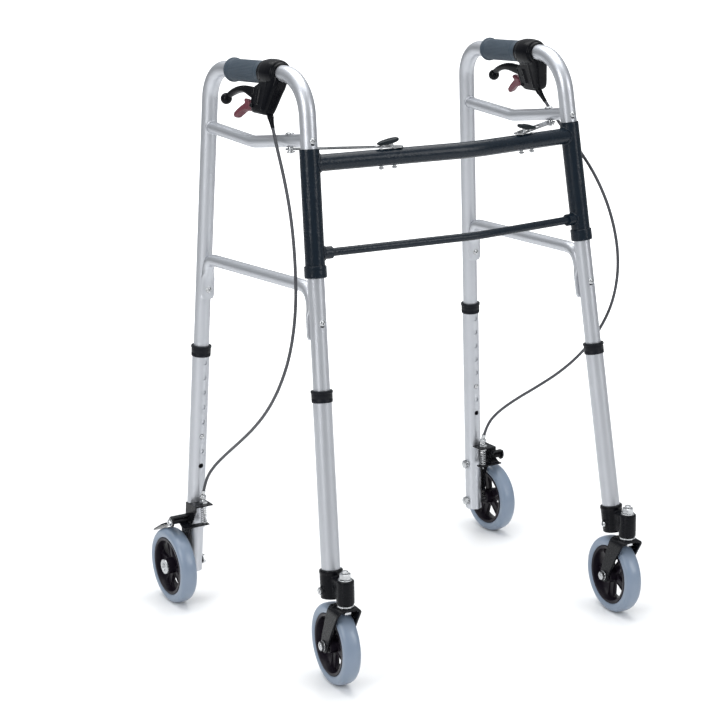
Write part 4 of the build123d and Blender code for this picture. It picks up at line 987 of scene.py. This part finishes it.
# ================================================================ rear axle hardware
def rear_hardware():
    metal = Shape()
    leg, axle = rear_axis(WHEEL_R), rear_axle()
    inner = leg - OUT * (OUTER_R + 0.3)
    metal.washer(inner, -OUT, 8.2, 1.2, 4.0)
    metal.hexagon(inner - OUT * 1.2, -OUT, 6.5, 4.6, 0.7)
    metal.round_head(inner - OUT * 5.6, -OUT, 4.0, 1.4)
    upper = rear_axis(BRACKET_BOLT_Z)
    inner = upper - OUT * (OUTER_R + 0.3)
    metal.washer(inner, -OUT, 8.2, 1.2, 4.0)
    metal.hexagon(inner - OUT * 1.2, -OUT, 6.5, 4.4, 0.7)
    plate_x = rear_axis(WHEEL_R + 6).x + OUTER_R + 2.3
    recessed_head(metal, Vector((plate_x, upper.y, upper.z)), OUT, 6.0, 2.6)
    pivot = Vector((REAR_WHEEL_X + 11.2, *ARM_PIVOT))
    metal.washer(pivot, OUT, 6.4, 1.0, 2.6)
    metal.hexagon(pivot + OUT * 1.0, OUT, 4.6, 3.6, 0.5)
    metal.tube([Vector((plate_x - 3.0, *ARM_PIVOT)), pivot + OUT * 6.0], 2.5, 20)
    cap = axle + OUT * 15.4
    metal.lathe(cap, OUT, [(0, 12.2), (0.6, 12.7), (2.4, 12.7), (3.2, 12.2), (3.6, 11.0), (3.6, 6.6),
                           (2.6, 6.2),
                           (2.6, 4.2), (0, 4.2)], 44, closed=True)
    recessed_head(metal, cap + OUT * 2.6, OUT, 5.6, 1.4)
    metal.tube([leg + OUT * OUTER_R, axle - OUT * 15.2], 8.4, 32)
    metal.tube([axle - OUT * 16, axle + OUT * 16.5], 4.0, 24)
    base = Vector((*BRAKE_WIRE, FLANGE_Z))
    metal.hexagon(base + UP * 0.1, UP, 6.0, 4.0, 0.6)
    metal.hexagon(base - UP * 5.9, UP, 5.6, 3.7, 0.6)
    turns = 9
    thread = [(-6.0, 1.2), (-6.0, 3.1)]
    for k in range(turns):
        thread += [(-5.6 + k * 1.6, 3.1), (-4.8 + k * 1.6, 3.55)]
    thread += [(9.0, 3.1), (9.0, 1.2)]
    metal.lathe(base, UP, thread, 28, closed=True)
    metal.lathe(base, UP, [(8.8, 1.2), (8.8, 4.6), (9.4, 5.1), (13.4, 5.1), (14.2, 4.4), (15.4, 3.4),
                           (15.4, 1.2)], 60,
                wave=0.18, waves=20, closed=True)
    pair("axle_hardware", metal, "rear_leg_body", "zinc_steel", ("rear_leg_hardware",))
    end = Vector(CABLE_POINTS[-1])
    way = (Vector(CABLE_POINTS[-2]) - end).normalized()
    cap = Shape().lathe(end - way * 0.6, way, [(0, 2.6), (0, 3.2), (0.5, 3.5), (9.0, 3.4), (9.8, 3.0),
                                               (9.8, 2.6)], 28, closed=True)
    pair("cable_ferrule", cap, "rear_leg_body", "zinc_steel")


# ================================================================ front frame welds and latches
def bar_point(x, z=BAR_Z, bow=BAR_BOW, name="left"):
    hinge = front_axis(z)
    apex = BOW_X if name == "left" else -BOW_X
    return Vector((x, hinge.y - bow * (hinge.x - x) / (hinge.x - apex), z))


def frame_welds():
    for side in SIDES:
        beads = Shape()
        for z, bow, radius in ((BAR_Z, BAR_BOW, BAR_R), (LOWER_BAR_Z, LOWER_BAR_BOW, 9.5)):
            hinge = front_axis(z)
            way = bar_point(hinge.x - 50.0, z, bow, side) - hinge
            bead = weld(hinge, way, radius, hinge, FRONT_DIR, SLEEVE_R, 1.9)
            beads.add(bead.points, bead.faces)
        item = make(f"{side}_frame_welds", beads, "hammered_paint", mirrored=side == "right")
        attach(item, "front_frame")


def latches():
    low, high = side_point(*UPPER_BRACE["dip"]), front_axis(UPPER_BRACE["front_z"])
    centre = low + (high - low) * ((LINK_PIN_Y - low.y) / (high.y - low.y))
    start = centre - FRONT_DIR * ((centre.z - LINK_Z - LINK_THICK / 2) / FRONT_DIR.z)
    tabs, posts, pins = [], [], []
    for side in SIDES:
        inner = bar_point(LATCH_X[side] - LATCH_PIN_GAP / 2, name=side)
        outer = bar_point(LATCH_X[side] + LATCH_PIN_GAP / 2, name=side)
        middle = (inner + outer) * 0.5
        run = (outer - inner).normalized()
        cross = UP.cross(run)
        base = Vector((middle.x, middle.y, LINK_Z + LINK_THICK + TAB_LIFT))
        tab = Shape()
        post = Shape()
        for place in (-6.5, 6.5):
            foot = base + run * place - UP * (TAB_LIFT - 0.05)
            post.lathe(foot, UP, [(0, 3.6), (0.8, 3.6), (1.0, 2.3), (TAB_LIFT + 2.0, 2.3)], 24)
        posts.append(post)
        rings = []
        for along, wide, foot, top in ((-17.6, 5.0, 0.6, 2.6), (-15.0, 10.0, 0.0, 4.4),
                                       (-8.0, 14.0, 0.0, 6.6),
                                       (0.0, 15.6, 0.6, 8.2), (8.0, 15.8, 2.0, 9.6),
                                       (14.0, 14.6, 3.8, 10.4),
                                       (17.6, 8.0, 6.0, 9.8)):
            rings.append([base - run * along + cross * a + UP * ((foot + top) / 2 + b)
                          for a, b in superellipse(-wide, top - foot, 3.4, 24)])
        tab.loft(rings)
        for k in range(4):
            ridge = base + run * (5.0 - 3.4 * k) + UP * (7.0 + 0.75 * k)
            tab.tube([ridge - cross * 5.2, ridge + cross * 5.2], 0.7, 10)
        tabs.append(tab)
        metal = Shape()
        for place in (inner, outer):
            foot = place - UP * (BAR_R + 5.0)
            metal.lathe(foot, UP, [(-0.6, 1.6), (0, 2.6), (5.6, 2.6), (6.0, 2.6)], 24)
            metal.washer(foot + UP * 1.2, UP, 4.6, 1.4, 2.6)
            metal.lathe(place + UP * (BAR_R - 0.6), UP, [(0, 3.6), (0.9, 3.6), (1.1, 3.2)], 24)
        clip = []
        for k in range(13):
            a = pi * k / 12
            clip.append(middle + UP * (BAR_R + 1.6 + 3.0 * sin(a)) + run * (17.0 * cos(a)) + cross * 7.2)
        metal.tube(clip, 0.9, 10)
        pins.append(metal)
    pair("latch_paddle", tabs, "tab", "tab_plastic", ("latch_tab",), subdivide=1)
    pair("tab_posts", posts, "tab", "zinc_steel")
    for side, metal in zip(SIDES, pins):
        item = make(f"{side}_latch_pins", metal, "zinc_steel", mirrored=side == "right")
        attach(item, "front_frame")
        if side == "left":
            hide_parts("latch_hardware")


camera()
studio()
floor()
paint_cad()
brake_cables()
hand_grip()
brake_housing()
brake_lever()
parking_lock()
lower_brace()
side_welds()
side_fasteners()
collars()
snap_buttons()
wheels()
caster_bracket()
caster_fork()
rear_hardware()
frame_welds()
latches()
